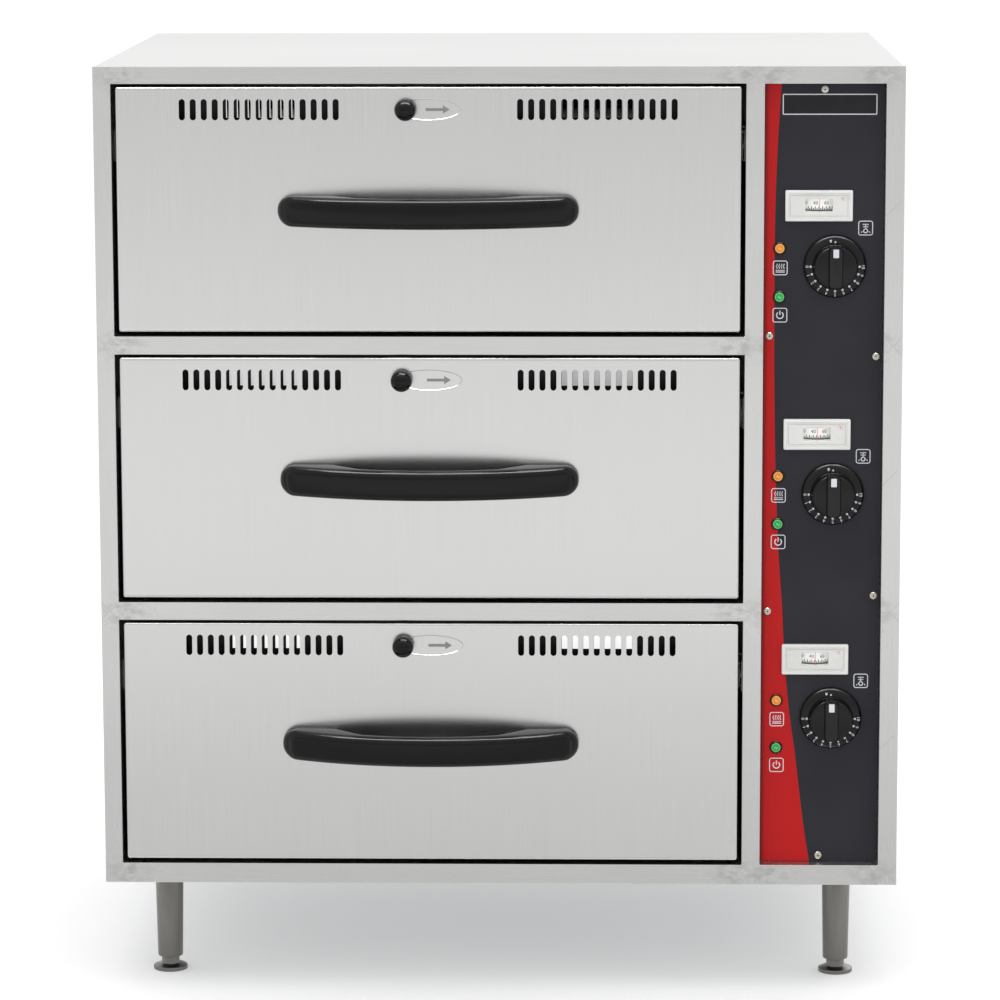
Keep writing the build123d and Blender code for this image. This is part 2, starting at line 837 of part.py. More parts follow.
def handle(number):
    # Bow handle: two feet on the face and a bar that bows out between them, with bevelled front edges
    half = handle_w / 2
    grip = handle_grip_w / 2
    inner_x = grip - handle_grip_slant
    inner_middle = handle_reach - handle_bar_t
    inner_end = inner_middle * handle_slope_share
    places = [half * (2 * i / handle_flats - 1) for i in range(handle_flats + 1)]
    places = sorted(places + [-grip, -inner_x, inner_x, grip])
    high, low = handle_h / 2, handle_h / 2 - handle_bevel
    rings = []
    for x in places:
        front = -bow_depth(x, half, handle_end_d, handle_reach)
        back = 0
        if abs(x) < grip:
            back = -inner_end * (grip - abs(x)) / handle_grip_slant
        if abs(x) <= inner_x:
            back = -bow_depth(x, inner_x, inner_end, inner_middle)
        shoulder = front + handle_bevel
        upper = [(x, back, high), (x, shoulder, high), (x, front, low)]
        rings.append(upper + [(x, y, -z) for x, y, z in reversed(upper)])
    ends = standing(soft_rect(handle_w, handle_h, handle_bevel, 1), -handle_reach, 0)
    middle = opening_low(number) + drawer_bottom_gap + front_h / 2
    return Pos(drawer_x, 0, middle) * (skinned(rings) & ends)


def vent_damper(number):
    # Sliding strip behind the inner plate: a slotted plate for each vent group, joined across the middle
    z = opening_low(number) + drawer_bottom_gap + front_h - vent_drop
    shift = damper_travel if vent_open_at_rest[number - 1] else 0
    reach = vent_group_x + inner_vent_slots * vent_pitch / 2 + damper_margin
    strip = rect(-reach, reach, -damper_h / 2, damper_h / 2)
    for x in vent_rows(inner_vent_slots):
        slot_w = vent_w - 2 * (vent_w - damper_travel)
        strip -= Pos(x - damper_travel, 0) * Rectangle(slot_w, vent_h)
    front = drawer_t + damper_gap
    return standing(Pos(drawer_x + shift, z) * strip, front, front + damper_t)


def vent_knob(number):
    # Domed pull on a stem that reaches back to the damper
    z = opening_low(number) + drawer_bottom_gap + front_h - vent_drop
    shift = damper_travel if vent_open_at_rest[number - 1] else 0
    pull = bevel(prism(vent_knob_r, leg_sides, vent_stem_gap, vent_knob_h), vent_dome)
    pull += prism(vent_stem_r, round_sides, -drawer_t - damper_gap, vent_stem_gap)
    return facing(pull, drawer_x + vent_knob_x + shift, 0, z)


os.makedirs("parts", exist_ok=True)

write("outer_wrapper", outer_wrapper())
write("base_pan", base_pan())
write("front_frame", front_frame())
write("inner_liner", inner_liner())
write("dividers", *dividers())
write("partition", partition())
write("insulation", *insulation())
write("rear_panel", rear_panel())
write("cord_gland", cord_gland())
write("terminal_block", terminal_block())
write("control_plate", control_plate())
write("panel_screws", *panel_screws())
write("thermostats", *thermostats())
write("thermostat_bulbs", *thermostat_bulbs())
write("heating_elements", *heating_elements())
write("thermometer_cases", *thermometer_cases())
write("thermometer_lenses", *[thermometer_lens(x, z) for x, z in thermometer_places()])
amber_places = lamp_places(amber_rise)
green_places = lamp_places(green_rise)
write("lamp_bezels", *[facing(lamp_bezel(), x, frame_return_d, z) for x, z in amber_places + green_places])
write("amber_lenses", *[facing(lamp_lens(), x, frame_return_d, z) for x, z in amber_places])
write("green_lenses", *[facing(lamp_lens(), x, frame_return_d, z) for x, z in green_places])
write("drawer_tracks", *drawer_tracks())
write("leg_plates", *leg_plates())
write("legs", *[Pos(x, y, 0) * leg() for x, y in leg_places().values()])
for corner, (x, y) in leg_places().items():
    write(f"foot_{corner}", Pos(x, y, 0) * foot())
for number in range(1, drawer_count + 1):
    drum_x, drum_z = thermometer_places()[number - 1]
    drum_y = frame_return_d + drum_gap + drum_r
    write(f"thermometer_drum_{number}", Pos(drum_x, drum_y, drum_z) * thermometer_drum())
    write(f"knob_{number}", facing(knob(), control_x + knob_x, frame_return_d - knob_gap, knob_rise(number)))
    write(f"cabinet_rollers_{number}", *rollers(number, front_axle_y))
    write(f"drawer_rollers_{number}", *rollers(number, rear_axle_y))
    write(f"drawer_front_{number}", drawer_front(number))
    write(f"drawer_carriage_{number}", drawer_carriage(number))
    write(f"food_pan_{number}", food_pan(number))
    write(f"handle_{number}", handle(number))
    write(f"vent_damper_{number}", vent_damper(number))
    write(f"vent_knob_{number}", vent_knob(number))
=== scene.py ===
from math import cos, pi, radians, sin, sqrt

import bmesh
import bpy
from mathutils import Matrix, Vector
from mathutils.geometry import delaunay_2d_cdt


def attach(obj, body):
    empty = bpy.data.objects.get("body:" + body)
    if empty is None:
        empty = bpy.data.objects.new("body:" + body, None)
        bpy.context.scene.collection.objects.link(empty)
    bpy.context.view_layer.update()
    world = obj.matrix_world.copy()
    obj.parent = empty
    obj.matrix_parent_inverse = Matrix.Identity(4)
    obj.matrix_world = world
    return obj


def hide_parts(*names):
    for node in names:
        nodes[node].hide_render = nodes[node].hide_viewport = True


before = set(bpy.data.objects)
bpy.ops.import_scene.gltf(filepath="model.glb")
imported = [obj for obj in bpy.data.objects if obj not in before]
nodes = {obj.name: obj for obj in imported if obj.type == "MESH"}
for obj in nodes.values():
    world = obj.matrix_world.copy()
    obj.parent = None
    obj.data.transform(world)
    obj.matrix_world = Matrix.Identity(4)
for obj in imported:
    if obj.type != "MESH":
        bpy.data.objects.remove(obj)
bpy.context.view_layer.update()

mm = 0.001

# Places shared by several pieces, in metres, in the frame of the CAD model
shared = {
    "faceY": -0.269,
    "drawerX": -0.0645,
    "openingLow": {1: 0.621, 2: 0.371, 3: 0.121},
    "frontLow": 0.004,
    "frontH": 0.2265,
    "ventDrop": 0.021,
    "plateY": -0.254,
    "panelX": 0.2995,
    "knobRise": {1: 0.685, 2: 0.4723, 3: 0.2596},
    "open": {1: True, 2: False, 3: False},
    "damperTravel": 0.00505,
}


# Shader graphs

class Wire:
    def __init__(self, graph, socket):
        self.graph = graph
        self.socket = socket

    def maths(self, operation, *others):
        return self.graph.add("ShaderNodeMath", {"operation": operation}, [self, *others])

    def __add__(self, other): return self.maths("ADD", other)
    def __sub__(self, other): return self.maths("SUBTRACT", other)
    def __mul__(self, other): return self.maths("MULTIPLY", other)
    def __mod__(self, other): return self.maths("FLOORED_MODULO", other)
    def __gt__(self, other): return self.maths("GREATER_THAN", other)
    def __lt__(self, other): return self.maths("LESS_THAN", other)
    def __neg__(self): return self * -1
    def __abs__(self): return self.maths("ABSOLUTE")
    def __radd__(self, other): return self + other
    def __rmul__(self, other): return self * other
    def __rsub__(self, other): return self.graph.add("ShaderNodeMath", {"operation": "SUBTRACT"}, [other, self])
    def largest(self, other): return self.maths("MAXIMUM", other)
    def least(self, other): return self.maths("MINIMUM", other)


class Graph:
    def __init__(self, tree):
        self.tree = tree
        tree.nodes.clear()

    def add(self, kind, settings=None, inputs=None, output=0):
        node = self.tree.nodes.new(kind)
        for key, value in (settings or {}).items():
            setattr(node, key, value)
        pairs = enumerate(inputs) if isinstance(inputs, (list, tuple)) else (inputs or {}).items()
        for key, value in pairs:
            socket = node.inputs[key]
            if isinstance(value, Wire):
                self.tree.links.new(value.socket, socket)
            else:
                socket.default_value = value
        self.last = node
        return Wire(self, node.outputs[output]) if len(node.outputs) else None

    def place(self):
        return self.add("ShaderNodeTexCoord", output="Object")

    def split(self, vector):
        self.add("ShaderNodeSeparateXYZ", inputs=[vector])
        return [Wire(self, socket) for socket in self.last.outputs]

    def stretch(self, vector, scale):
        return self.add("ShaderNodeVectorMath", {"operation": "MULTIPLY"}, [vector, scale])

    def noise(self, vector, scale=1.0, detail=2.0, rough=0.5):
        inputs = {"Vector": vector, "Scale": scale, "Detail": detail, "Roughness": rough}
        return self.add("ShaderNodeTexNoise", inputs=inputs)

    def fit(self, value, low, high, newLow=0.0, newHigh=1.0, smooth=False):
        settings = {"interpolation_type": "SMOOTHSTEP" if smooth else "LINEAR"}
        return self.add("ShaderNodeMapRange", settings, [value, low, high, newLow, newHigh])

    def blend(self, factor, first, second):
        self.add("ShaderNodeMix", {"data_type": "RGBA"})
        node = self.last
        for key, value in ((0, factor), (6, first), (7, second)):
            if isinstance(value, Wire):
                self.tree.links.new(value.socket, node.inputs[key])
            else:
                node.inputs[key].default_value = value
        return Wire(self, node.outputs[2])

    def mottle(self, noise, tone, change):
        return self.blend(self.fit(noise, 0.35, 0.7), rgb(*tone), rgb(*[min(255, t + change) for t in tone]))

    def bump(self, height, distance, strength=1.0):
        return self.add("ShaderNodeBump", inputs={"Height": height, "Distance": distance, "Strength": strength})

    def surface(self, inputs):
        shader = self.add("ShaderNodeBsdfPrincipled", inputs=inputs)
        self.add("ShaderNodeOutputMaterial", inputs=[shader])


def newMaterial(name):
    material = bpy.data.materials.new(name)
    material.use_nodes = True
    return material, Graph(material.node_tree)


def rgb(red, green, blue):
    # Colours are written as they look on screen, from 0 to 255
    def linear(value):
        value = value / 255
        return value / 12.92 if value <= 0.04045 else ((value + 0.055) / 1.055) ** 2.4
    return (linear(red), linear(green), linear(blue), 1.0)


def brushedSteel(name, grain, tone=(216, 216, 215), rough=0.23, spread=0.05, depth=0.1):
    # grain is the stretch of the brush marks: small along them, large across
    material, graph = newMaterial(name)
    place = graph.place()
    fine = graph.noise(graph.stretch(place, grain), 1.0, 3.0, 0.6)
    cloud = graph.noise(place, 2.6, 1.0)
    colour = graph.blend(graph.fit(fine * 0.7 + cloud * 0.3, 0.3, 0.7), rgb(*[t - 7 for t in tone]), rgb(*tone))
    graph.surface({
        "Base Color": colour,
        "Metallic": 1.0,
        "Roughness": rough + (fine - 0.5) * spread,
        "Anisotropic": 0.3,
        "Normal": graph.bump(fine, 0.00001, depth),
    })
    return material


def frameSteel(settings):
    # The front frame's sheet. Its mitred corners are welded and ground, which leaves faint clouded marks
    material, graph = newMaterial("steel_frame")
    place = graph.place()
    x, _, z = graph.split(place)
    along = graph.noise(graph.stretch(place, (14.0, 900.0, 900.0)), 1.0, 3.0, 0.6)
    upright = graph.noise(graph.stretch(place, (900.0, 900.0, 14.0)), 1.0, 3.0, 0.6)
    stile = (x < settings["left"]).largest(x > settings["right"])
    stile = stile.largest(abs(x - settings["post"]) < settings["postHalf"])
    grain = stile * upright + (1 - stile) * along
    cloud = graph.noise(place, 9.0, 2.0)
    smear = graph.noise(graph.stretch(place, (90.0, 30.0, 160.0)), 1.0, 3.0, 0.6)
    marks = None
    half = settings["pitch"] / 2
    row = (z - settings["low"] + half) % settings["pitch"] - half
    for edge, side in settings["edges"]:
        out = (x - edge) * side
        for start, down in ((0.0, 1.0), (-settings["rail"], -1.0)):
            drop = (start - row) * down
            line = graph.fit(abs(out - drop), 0.0, settings["line"], 0.35, 0.0, True) * (out > -0.001) * (drop > -0.001)
            near = graph.fit(abs(out + 0.006) + abs(drop - 0.008), 0.004, settings["reach"], 0.7, 0.0, True)
            mark = line.largest(near * graph.fit(smear, 0.42, 0.62))
            marks = mark if marks is None else marks.largest(mark)
    colour = graph.blend(graph.fit(grain * 0.6 + cloud * 0.4, 0.3, 0.7), rgb(204, 204, 203), rgb(212, 212, 211))
    colour = graph.blend(marks * 0.8, colour, rgb(166, 166, 164))
    graph.surface({
        "Base Color": colour,
        "Metallic": 1.0,
        "Roughness": 0.27 + (grain - 0.5) * 0.03 + marks * 0.08,
        "Anisotropic": 0.3,
        "Normal": graph.bump(grain, 0.00001, 0.15),
    })
    return material


def innerSteel(name, tone, rough, dark=None):
    # Mill finish sheet; dark gives two planes in Y, and the sheet between them is painted nearly black: painted shade
    # standing for the shade inside the hollow front
    material, graph = newMaterial(name)
    place = graph.place()
    cloud = graph.noise(place, 18.0, 3.0)
    fine = graph.noise(graph.stretch(place, (40.0, 40.0, 700.0)), 1.0, 2.0)
    colour = graph.mottle(cloud, tone, -18)
    metallic = 0.9
    if dark:
        y = graph.split(place)[1]
        shade = (y > dark[0]) * (y < dark[1])
        colour = graph.blend(shade, colour, rgb(38, 38, 39))
        metallic = 0.9 - shade * 0.7
    graph.surface({
        "Base Color": colour,
        "Metallic": metallic,
        "Roughness": rough + (fine - 0.5) * 0.1,
        "Normal": graph.bump(fine, 0.00003, 0.3),
    })
    return material


def spangled(name, tone):
    material, graph = newMaterial(name)
    place = graph.place()
    cells = graph.add("ShaderNodeTexVoronoi", {"feature": "F1"}, {"Vector": place, "Scale": 120.0}, output="Color")
    tint = graph.split(cells)[0]
    colour = graph.blend(tint, rgb(*tone), rgb(*[t - 26 for t in tone]))
    graph.surface({
        "Base Color": colour,
        "Metallic": 0.85,
        "Roughness": 0.42 + tint * 0.14,
        "Normal": graph.bump(tint, 0.00003, 0.2),
    })
    return material


def moulded(name, tone, rough, gloss=0.5, grainScale=900.0, grainDepth=0.00002, glow=None, lighter=8):
    # Plastic with a fine moulded texture and faint cloudiness; gloss is how strongly it mirrors. glow makes it give off
    # its own colour: the lamp lenses' own light, and painted light on the scale drum
    material, graph = newMaterial(name)
    place = graph.place()
    grain = graph.noise(place, grainScale, 2.0)
    cloud = graph.noise(place, 40.0, 2.0)
    colour = graph.mottle(cloud, tone, lighter)
    inputs = {
        "Base Color": colour,
        "Roughness": rough + (cloud - 0.5) * 0.06,
        "Specular IOR Level": gloss,
        "Normal": graph.bump(grain, grainDepth, 0.3),
    }
    if glow:
        inputs["Emission Color"] = colour
        inputs["Emission Strength"] = glow
    graph.surface(inputs)
    return material


def damperSheet(name, leftGlow, rightGlow):
    # Painted light: the damper glows to stand for the light that falls past the open slots, left and right of the
    # drawer's middle
    material, graph = newMaterial(name)
    place = graph.place()
    x = graph.split(place)[0]
    fine = graph.noise(graph.stretch(place, (60.0, 60.0, 700.0)), 1.0, 2.0)
    right = x > shared["drawerX"]
    glow = leftGlow + right * (rightGlow - leftGlow)
    graph.surface({
        "Base Color": graph.blend(fine, rgb(206, 206, 205), rgb(222, 222, 221)),
        "Metallic": 0.4,
        "Roughness": 0.35 + fine * 0.1,
        "Emission Color": graph.blend(glow, (0.0, 0.0, 0.0, 1.0), (1.0, 1.0, 1.0, 1.0)),
        "Emission Strength": 1.0,
    })
    return material


def clearSheet():
    material, graph = newMaterial("clear_lens")
    smear = graph.noise(graph.place(), 90.0, 2.0)
    graph.surface({
        "Base Color": (0.95, 0.97, 0.97, 1.0),
        "Roughness": 0.06 + smear * 0.06,
        "Specular IOR Level": 0.3,
        "Alpha": 0.05 + smear * 0.04,
        "IOR": 1.5,
    })
    material.blend_method = "BLEND"
    return material


def panelPaint(settings):
    # Printed sheet: charcoal with a red band down the left side, whose edge swings out towards the bottom
    material, graph = newMaterial("control_panel")
    place = graph.place()
    x, _, z = graph.split(place)
    edgeZ = graph.fit(z, settings["low"], settings["high"])
    lean = graph.add("ShaderNodeFloatCurve", inputs={"Factor": 1.0, "Value": edgeZ})
    curve = graph.last.mapping.curves[0]
    span = settings["high"] - settings["low"]
    places = [
        ((height - settings["low"]) / span, (edge - settings["left"]) / settings["width"])
        for height, edge in settings["edge"]
    ]
    curve.points[0].location = places[0]
    curve.points[1].location = places[-1]
    for point in places[1:-1]:
        curve.points.new(*point)
    graph.last.mapping.update()
    edge = settings["left"] + lean * settings["width"]
    band = graph.fit(edge - x, -0.00015, 0.00015)
    cloud = graph.noise(place, 14.0, 3.0)
    grain = graph.noise(place, 1400.0, 2.0)
    charcoal = graph.mottle(cloud, (40, 40, 47), 6)
    # The red is painted darker over the 6 mm next to the panel's left edge: painted shade along that edge
    depth = graph.fit(x, settings["left"], settings["left"] + 0.006, 0.0, 1.0, True)
    red = graph.blend(depth, rgb(112, 10, 12), rgb(196, 20, 22))
    graph.surface({
        "Base Color": graph.blend(band, charcoal, red),
        "Roughness": 0.45 + (cloud - 0.5) * 0.1 - band * 0.06,
        "Specular IOR Level": 0.22,
        "Normal": graph.bump(grain, 0.00003, 0.3),
    })
    return material


def mineralWool():
    material, graph = newMaterial("insulation")
    place = graph.place()
    fibre = graph.noise(graph.stretch(place, (500.0, 500.0, 60.0)), 1.0, 4.0, 0.7)
    colour = graph.blend(fibre, rgb(196, 176, 110), rgb(232, 216, 160))
    graph.surface({"Base Color": colour, "Roughness": 0.95, "Normal": graph.bump(fibre, 0.001, 0.7)})
    return material


def sheath():
    material, graph = newMaterial("heater_sheath")
    place = graph.place()
    heat = graph.noise(place, 26.0, 3.0)
    colour = graph.blend(graph.fit(heat, 0.35, 0.7), rgb(92, 80, 72), rgb(132, 118, 106))
    graph.surface({
        "Base Color": colour,
        "Metallic": 0.8,
        "Roughness": 0.45 + heat * 0.2,
        "Normal": graph.bump(heat, 0.0001, 0.3),
    })
    return material


# Brush marks that run up and down, and from front to back
vertical = (900.0, 900.0, 10.0)
depthwise = (900.0, 10.0, 900.0)

materials = {
    "steelFront": brushedSteel("steel_front", vertical),
    # The pressed arrow is the front's own sheet in a darker tone: painted shade of its relief
    "shadedArrowSteel": brushedSteel("steel_arrow_painted_shade", vertical, (150, 150, 149), 0.4),
    "steelTop": brushedSteel("steel_wrapper", depthwise, (214, 214, 213), 0.24),
    "steelFrame": frameSteel({
        "left": -0.3565,
        "right": 0.3555,
        "post": 0.2355,
        "postHalf": 0.0085,
        "low": 0.121,
        "pitch": 0.25,
        "edges": ((-0.356, -1), (0.227, 1), (0.244, -1), (0.355, 1)),
        "rail": 0.017,
        "line": 0.0016,
        "reach": 0.034,
    }),
    "steelRear": brushedSteel("steel_rear", vertical, (208, 208, 207), 0.36),
    "steelLeg": brushedSteel("steel_leg", (500.0, 500.0, 60.0), (122, 121, 117), 0.3, 0.12, 0.3),
    "steelPan": brushedSteel("steel_pan", (60.0, 60.0, 60.0), (218, 218, 216), 0.2, 0.05),
    "inner": innerSteel("inner_steel", (170, 170, 168), 0.38),
    # The carriage's inner plate front, between these planes, gets painted shade so the slots look dark
    "carriage": innerSteel("carriage_steel_painted_shade", (170, 170, 168), 0.38, (-0.2345, -0.2335)),
    "galvanised": spangled("galvanised", (190, 192, 194)),
    "wool": mineralWool(),
    "sheath": sheath(),
    "aluminium": innerSteel("thermostat_case", (186, 186, 188), 0.35),
    "copper": moulded("sensor_copper", (176, 120, 84), 0.35),
    "white": moulded("white_plastic", (236, 236, 233), 0.35),
    "whiteInset": moulded("white_inset", (206, 206, 203), 0.45),
    "clear": clearSheet(),
    # The scale drum glows though it is no lamp: painted light that brightens it in its window
    "drum": moulded("scale_drum", (236, 235, 230), 0.55, glow=0.35),
    "black": moulded("black_plastic", (6, 6, 7), 0.1, 0.24, 260.0, 0.00002, lighter=3),
    "knob": moulded("knob_plastic", (11, 11, 13), 0.22, 0.3, 500.0, 0.00002, lighter=4),
    "grip": moulded("grip_plastic", (20, 20, 22), 0.3, 0.35, 700.0, 0.00003, lighter=5),
    "bezel": moulded("bezel_plastic", (34, 26, 18), 0.3, 0.4),
    "amber": moulded("amber_lens", (228, 132, 20), 0.18, 0.6, 300.0, 0.00002, 0.15),
    "green": moulded("green_lens", (22, 160, 62), 0.18, 0.6, 300.0, 0.00002, 0.12),
    "amberLight": moulded("amber_light", (250, 200, 110), 0.2, 0.6),
    "greenLight": moulded("green_light", (120, 226, 150), 0.2, 0.6),
    "nylon": moulded("nylon", (224, 222, 208), 0.5),
    "blockPlastic": moulded("block_plastic", (222, 218, 200), 0.55),
    "gland": moulded("gland_plastic", (20, 20, 21), 0.5, 0.3),
    "printWhite": moulded("printed_white", (222, 224, 230), 0.5, 0.3),
    "printDark": moulded("printed_dark", (20, 20, 24), 0.5, 0.3),
    "printRed": moulded("printed_red", (214, 40, 40), 0.5, 0.3),
    "screw": brushedSteel("screw_steel", (600.0, 600.0, 600.0), (206, 200, 188), 0.24),
    "panel": panelPaint({
        "left": 0.244,
        "width": 0.06,
        "low": 0.121,
        "high": 0.854,
        "edge": (
            (0.121, 0.2912), (0.1608, 0.2848), (0.2235, 0.2771), (0.276, 0.2700), (0.3312, 0.2656), (0.3697, 0.2635),
            (0.4071, 0.2607), (0.4633, 0.2579), (0.5195, 0.2561), (0.66, 0.2545), (0.7538, 0.2552), (0.854, 0.2598),
        ),
    }),
}
print("materials", len(materials))


# Meshes

def toMesh(mesh, name):
    data = bpy.data.meshes.new(name)
    mesh.to_mesh(data)
    mesh.free()
    return data


def finished(name, mesh, material, body, angle=35):
    data = toMesh(mesh, name)
    data.materials.append(materials[material])
    data.shade_smooth()
    data.set_sharp_from_angle(angle=radians(angle))
    piece = bpy.data.objects.new(name, data)
    bpy.context.scene.collection.objects.link(piece)
    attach(piece, body)
    return piece


def lofted(rings, caps=True, closed=False):
    # Skins equal rings of points in order
    mesh = bmesh.new()
    rows = [[mesh.verts.new(point) for point in ring] for ring in rings]
    count = len(rows[0])
    pairs = list(zip(rows, rows[1:]))
    if closed:
        pairs.append((rows[-1], rows[0]))
    for first, second in pairs:
        for i in range(count):
            j = (i + 1) % count
            mesh.faces.new((first[i], first[j], second[j], second[i]))
    if caps and not closed:
        mesh.faces.new(rows[0][::-1])
        mesh.faces.new(rows[-1])
    bmesh.ops.recalc_face_normals(mesh, faces=mesh.faces)
    return mesh


# The radius that stands for the middle at both ends of a turned profile
axis = 0.0001


def turned(profile, steps, matrix):
    # A lathe about Z: profile is (radius, height) from the middle of one end to the middle of the other
    rings = []
    for radius, height in profile:
        ring = []
        for i in range(steps):
            angle = 2 * pi * i / steps
            r = radius(angle) if callable(radius) else radius
            ring.append(matrix @ Vector((r * cos(angle), r * sin(angle), height)))
        rings.append(ring)
    return lofted(rings)


def rod(radius, low, high, steps, matrix):
    return turned([(axis, low), (radius, low), (radius, high), (axis, high)], steps, matrix)


def merged(parts):
    whole = bmesh.new()
    for part in parts:
        data = toMesh(part, "part")
        whole.from_mesh(data)
        bpy.data.meshes.remove(data)
    return whole


def outlineAt(matrix, points, height):
    return [matrix @ Vector((x, y, height)) for x, y in points]


def rounded(width, depth, corner, steps):
    points = []
    for quarter, (sideX, sideY) in enumerate(((1, 1), (-1, 1), (-1, -1), (1, -1))):
        for i in range(steps + 1):
            angle = (quarter + i / steps) * pi / 2
            points.append((
                sideX * (width / 2 - corner) + corner * cos(angle),
                sideY * (depth / 2 - corner) + corner * sin(angle),
            ))
    return points


def softBox(low, high, radius):
    mesh = bmesh.new()
    bmesh.ops.create_cube(mesh, size=1.0)
    size = Vector(high) - Vector(low)
    middle = (Vector(high) + Vector(low)) / 2
    for vertex in mesh.verts:
        vertex.co = Vector([c * s for c, s in zip(vertex.co, size)]) + middle
    bmesh.ops.bevel(mesh, geom=mesh.edges[:], offset=radius, segments=1, profile=0.5, affect="EDGES")
    return mesh


def stroke(points, width, height, matrix, closed=False):
    # A flat ribbon along points in X and Y, raised by height in Z
    flat = [Vector(point) for point in points]
    count = len(flat)
    rings = []
    for i, point in enumerate(flat):
        before = flat[i - 1] if i or closed else None
        after = flat[(i + 1) % count] if i < count - 1 or closed else None
        legs = []
        if before is not None:
            legs.append((point - before).normalized())
        if after is not None:
            legs.append((after - point).normalized())
        along = sum(legs, Vector((0, 0))).normalized()
        side = Vector((-along.y, along.x))
        stretch = width / 2 / max(0.35, abs(side.dot(Vector((-legs[0].y, legs[0].x)))))
        left, right = point + side * stretch, point - side * stretch
        section = ((left, 0), (right, 0), (right, height), (left, height))
        rings.append([matrix @ Vector((spot.x, spot.y, h)) for spot, h in section])
    return lofted(rings, closed=closed)


def plateShape(points, height, matrix):
    return lofted([outlineAt(matrix, points, h) for h in (0, height)])


def arc(radius, start, end, steps, centre=(0, 0)):
    angles = [start + (end - start) * i / steps for i in range(steps + 1)]
    return [(centre[0] + radius * cos(a), centre[1] + radius * sin(a)) for a in angles]


def lettering(text, size, matrix, height):
    # Plain figures as a mesh, centred on the origin of matrix
    curve = bpy.data.curves.new("figures", "FONT")
    curve.body = text
    curve.size = size
    curve.align_x = "CENTER"
    curve.align_y = "CENTER"
    curve.resolution_u = 3
    curve.extrude = height / 2
    holder = bpy.data.objects.new("figures", curve)
    bpy.context.scene.collection.objects.link(holder)
    bpy.context.view_layer.update()
    data = bpy.data.meshes.new_from_object(holder.evaluated_get(bpy.context.evaluated_depsgraph_get()))
    mesh = bmesh.new()
    mesh.from_mesh(data)
    mesh.transform(matrix @ Matrix.Translation((0, 0, height / 2)))
    bpy.data.objects.remove(holder)
    bpy.data.curves.remove(curve)
    bpy.data.meshes.remove(data)
    return mesh


def facing(x, y, z):
    # Local X stays right, local Y points up and local Z out of the front
    return Matrix.Translation((x, y, z)) @ Matrix.Rotation(pi / 2, 4, "X")


def thicken(piece, thickness):
    thick = piece.modifiers.new("thickness", "SOLIDIFY")
    thick.thickness = thickness
    thick.offset = -1.0


def frontLow(n):
    return shared["openingLow"][n] + shared["frontLow"]


# CAD nodes that keep their own shape

keptNodes = {
    "steelTop": ["outer_wrapper"],
    "steelFrame": ["front_frame"],
    "steelRear": ["rear_panel"],
    "carriage": ["drawer_carriage_1", "drawer_carriage_2", "drawer_carriage_3"],
    "inner": ["inner_liner", "dividers", "drawer_tracks"],
    "galvanised": ["base_pan", "partition", "leg_plates"],
    "wool": ["insulation"],
    "sheath": ["heating_elements"],
    "aluminium": ["thermostats"],
    "copper": ["thermostat_bulbs"],
    "clear": ["thermometer_lenses"],
    "drum": ["thermometer_drum_1", "thermometer_drum_2", "thermometer_drum_3"],
    "nylon": [f"{kind}_rollers_{n}" for kind in ("cabinet", "drawer") for n in (1, 2, 3)],
    "blockPlastic": ["terminal_block"],
    "gland": ["cord_gland"],
    "panel": ["control_plate"],
}


def paint(node, material):
    node.data.materials.clear()
    node.data.materials.append(materials[material])


for material, names in keptNodes.items():
    for name in names:
        paint(nodes[name], material)

# Folded edges catch the light
softened = {
    "front_frame": 0.0005,
    "outer_wrapper": 0.0004,
    "rear_panel": 0.0004,
    "cord_gland": 0.0008,
}
for name, width in softened.items():
    node = nodes[name]
    weld = node.modifiers.new("weld", "WELD")
    weld.merge_threshold = 0.00001
    bevel = node.modifiers.new("bevel", "BEVEL")
    bevel.width = width
    bevel.segments = 2
    bevel.limit_method = "ANGLE"
    bevel.angle_limit = radians(40)
    bevel.harden_normals = False

# How strongly each damper glows left and right of the drawer's middle: painted light
for n, left, right in ((1, 0.7, 0.04), (2, 0.5, 0.3), (3, 0.85, 0.85)):
    name = f"damper_steel_{n}"
    materials[name] = damperSheet(name, left, right)
    paint(nodes[f"vent_damper_{n}"], name)
print("kept nodes", sum(len(names) for names in keptNodes.values()))


# Drawer fronts: a slotted face with bent edges and a pressed oval

front = {
    "w": 0.575,
    "t": 0.036,
    "skin": 0.0012,
    "bend": 0.0022,
    "margin": 0.0012,
    "corner": 0.0026,
    "leastCorner": 0.0004,
    "slotW": 0.0056,
    "slotH": 0.0195,
    "slots": 15,
    "pitch": 0.0101,
    "groupX": 0.1553,
    "ovalW": 0.061,
    "ovalH": 0.0193,
    "ovalDepth": 0.0006,
    # How far the oval grows, and the share of its depth
    "ovalLevels": (
        (0.0006, 0.0), (0.0001, 0.0), (-0.0002, -0.25), (-0.0004, -0.75), (-0.0006, -1.0), (-0.0008, -1.0),
    ),
    "stemR": 0.0032,
    "stemFrom": -0.0255,
    "stemTo": -0.02045,
}


def sheet(outer, holes, height, matrix):
    # Fills the space between a border and its convex holes
    points, edges, owner = [], [], []
    for number, loop in enumerate([outer, *holes]):
        start, count = len(points), len(loop)
        points += [Vector(point) for point in loop]
        edges += [(start + i, start + (i + 1) % count) for i in range(count)]
        owner += [number] * count
    flat, _, faces, origins = delaunay_2d_cdt(points, edges, [], 1, 1e-7)[:4]
    mesh = bmesh.new()
    corners = [mesh.verts.new(matrix @ Vector((point.x, point.y, height))) for point in flat]
    for face in faces:
        held = {owner[origins[i][0]] for i in face}
        if len(held) > 1 or 0 in held:
            mesh.faces.new([corners[i] for i in face])
    return mesh


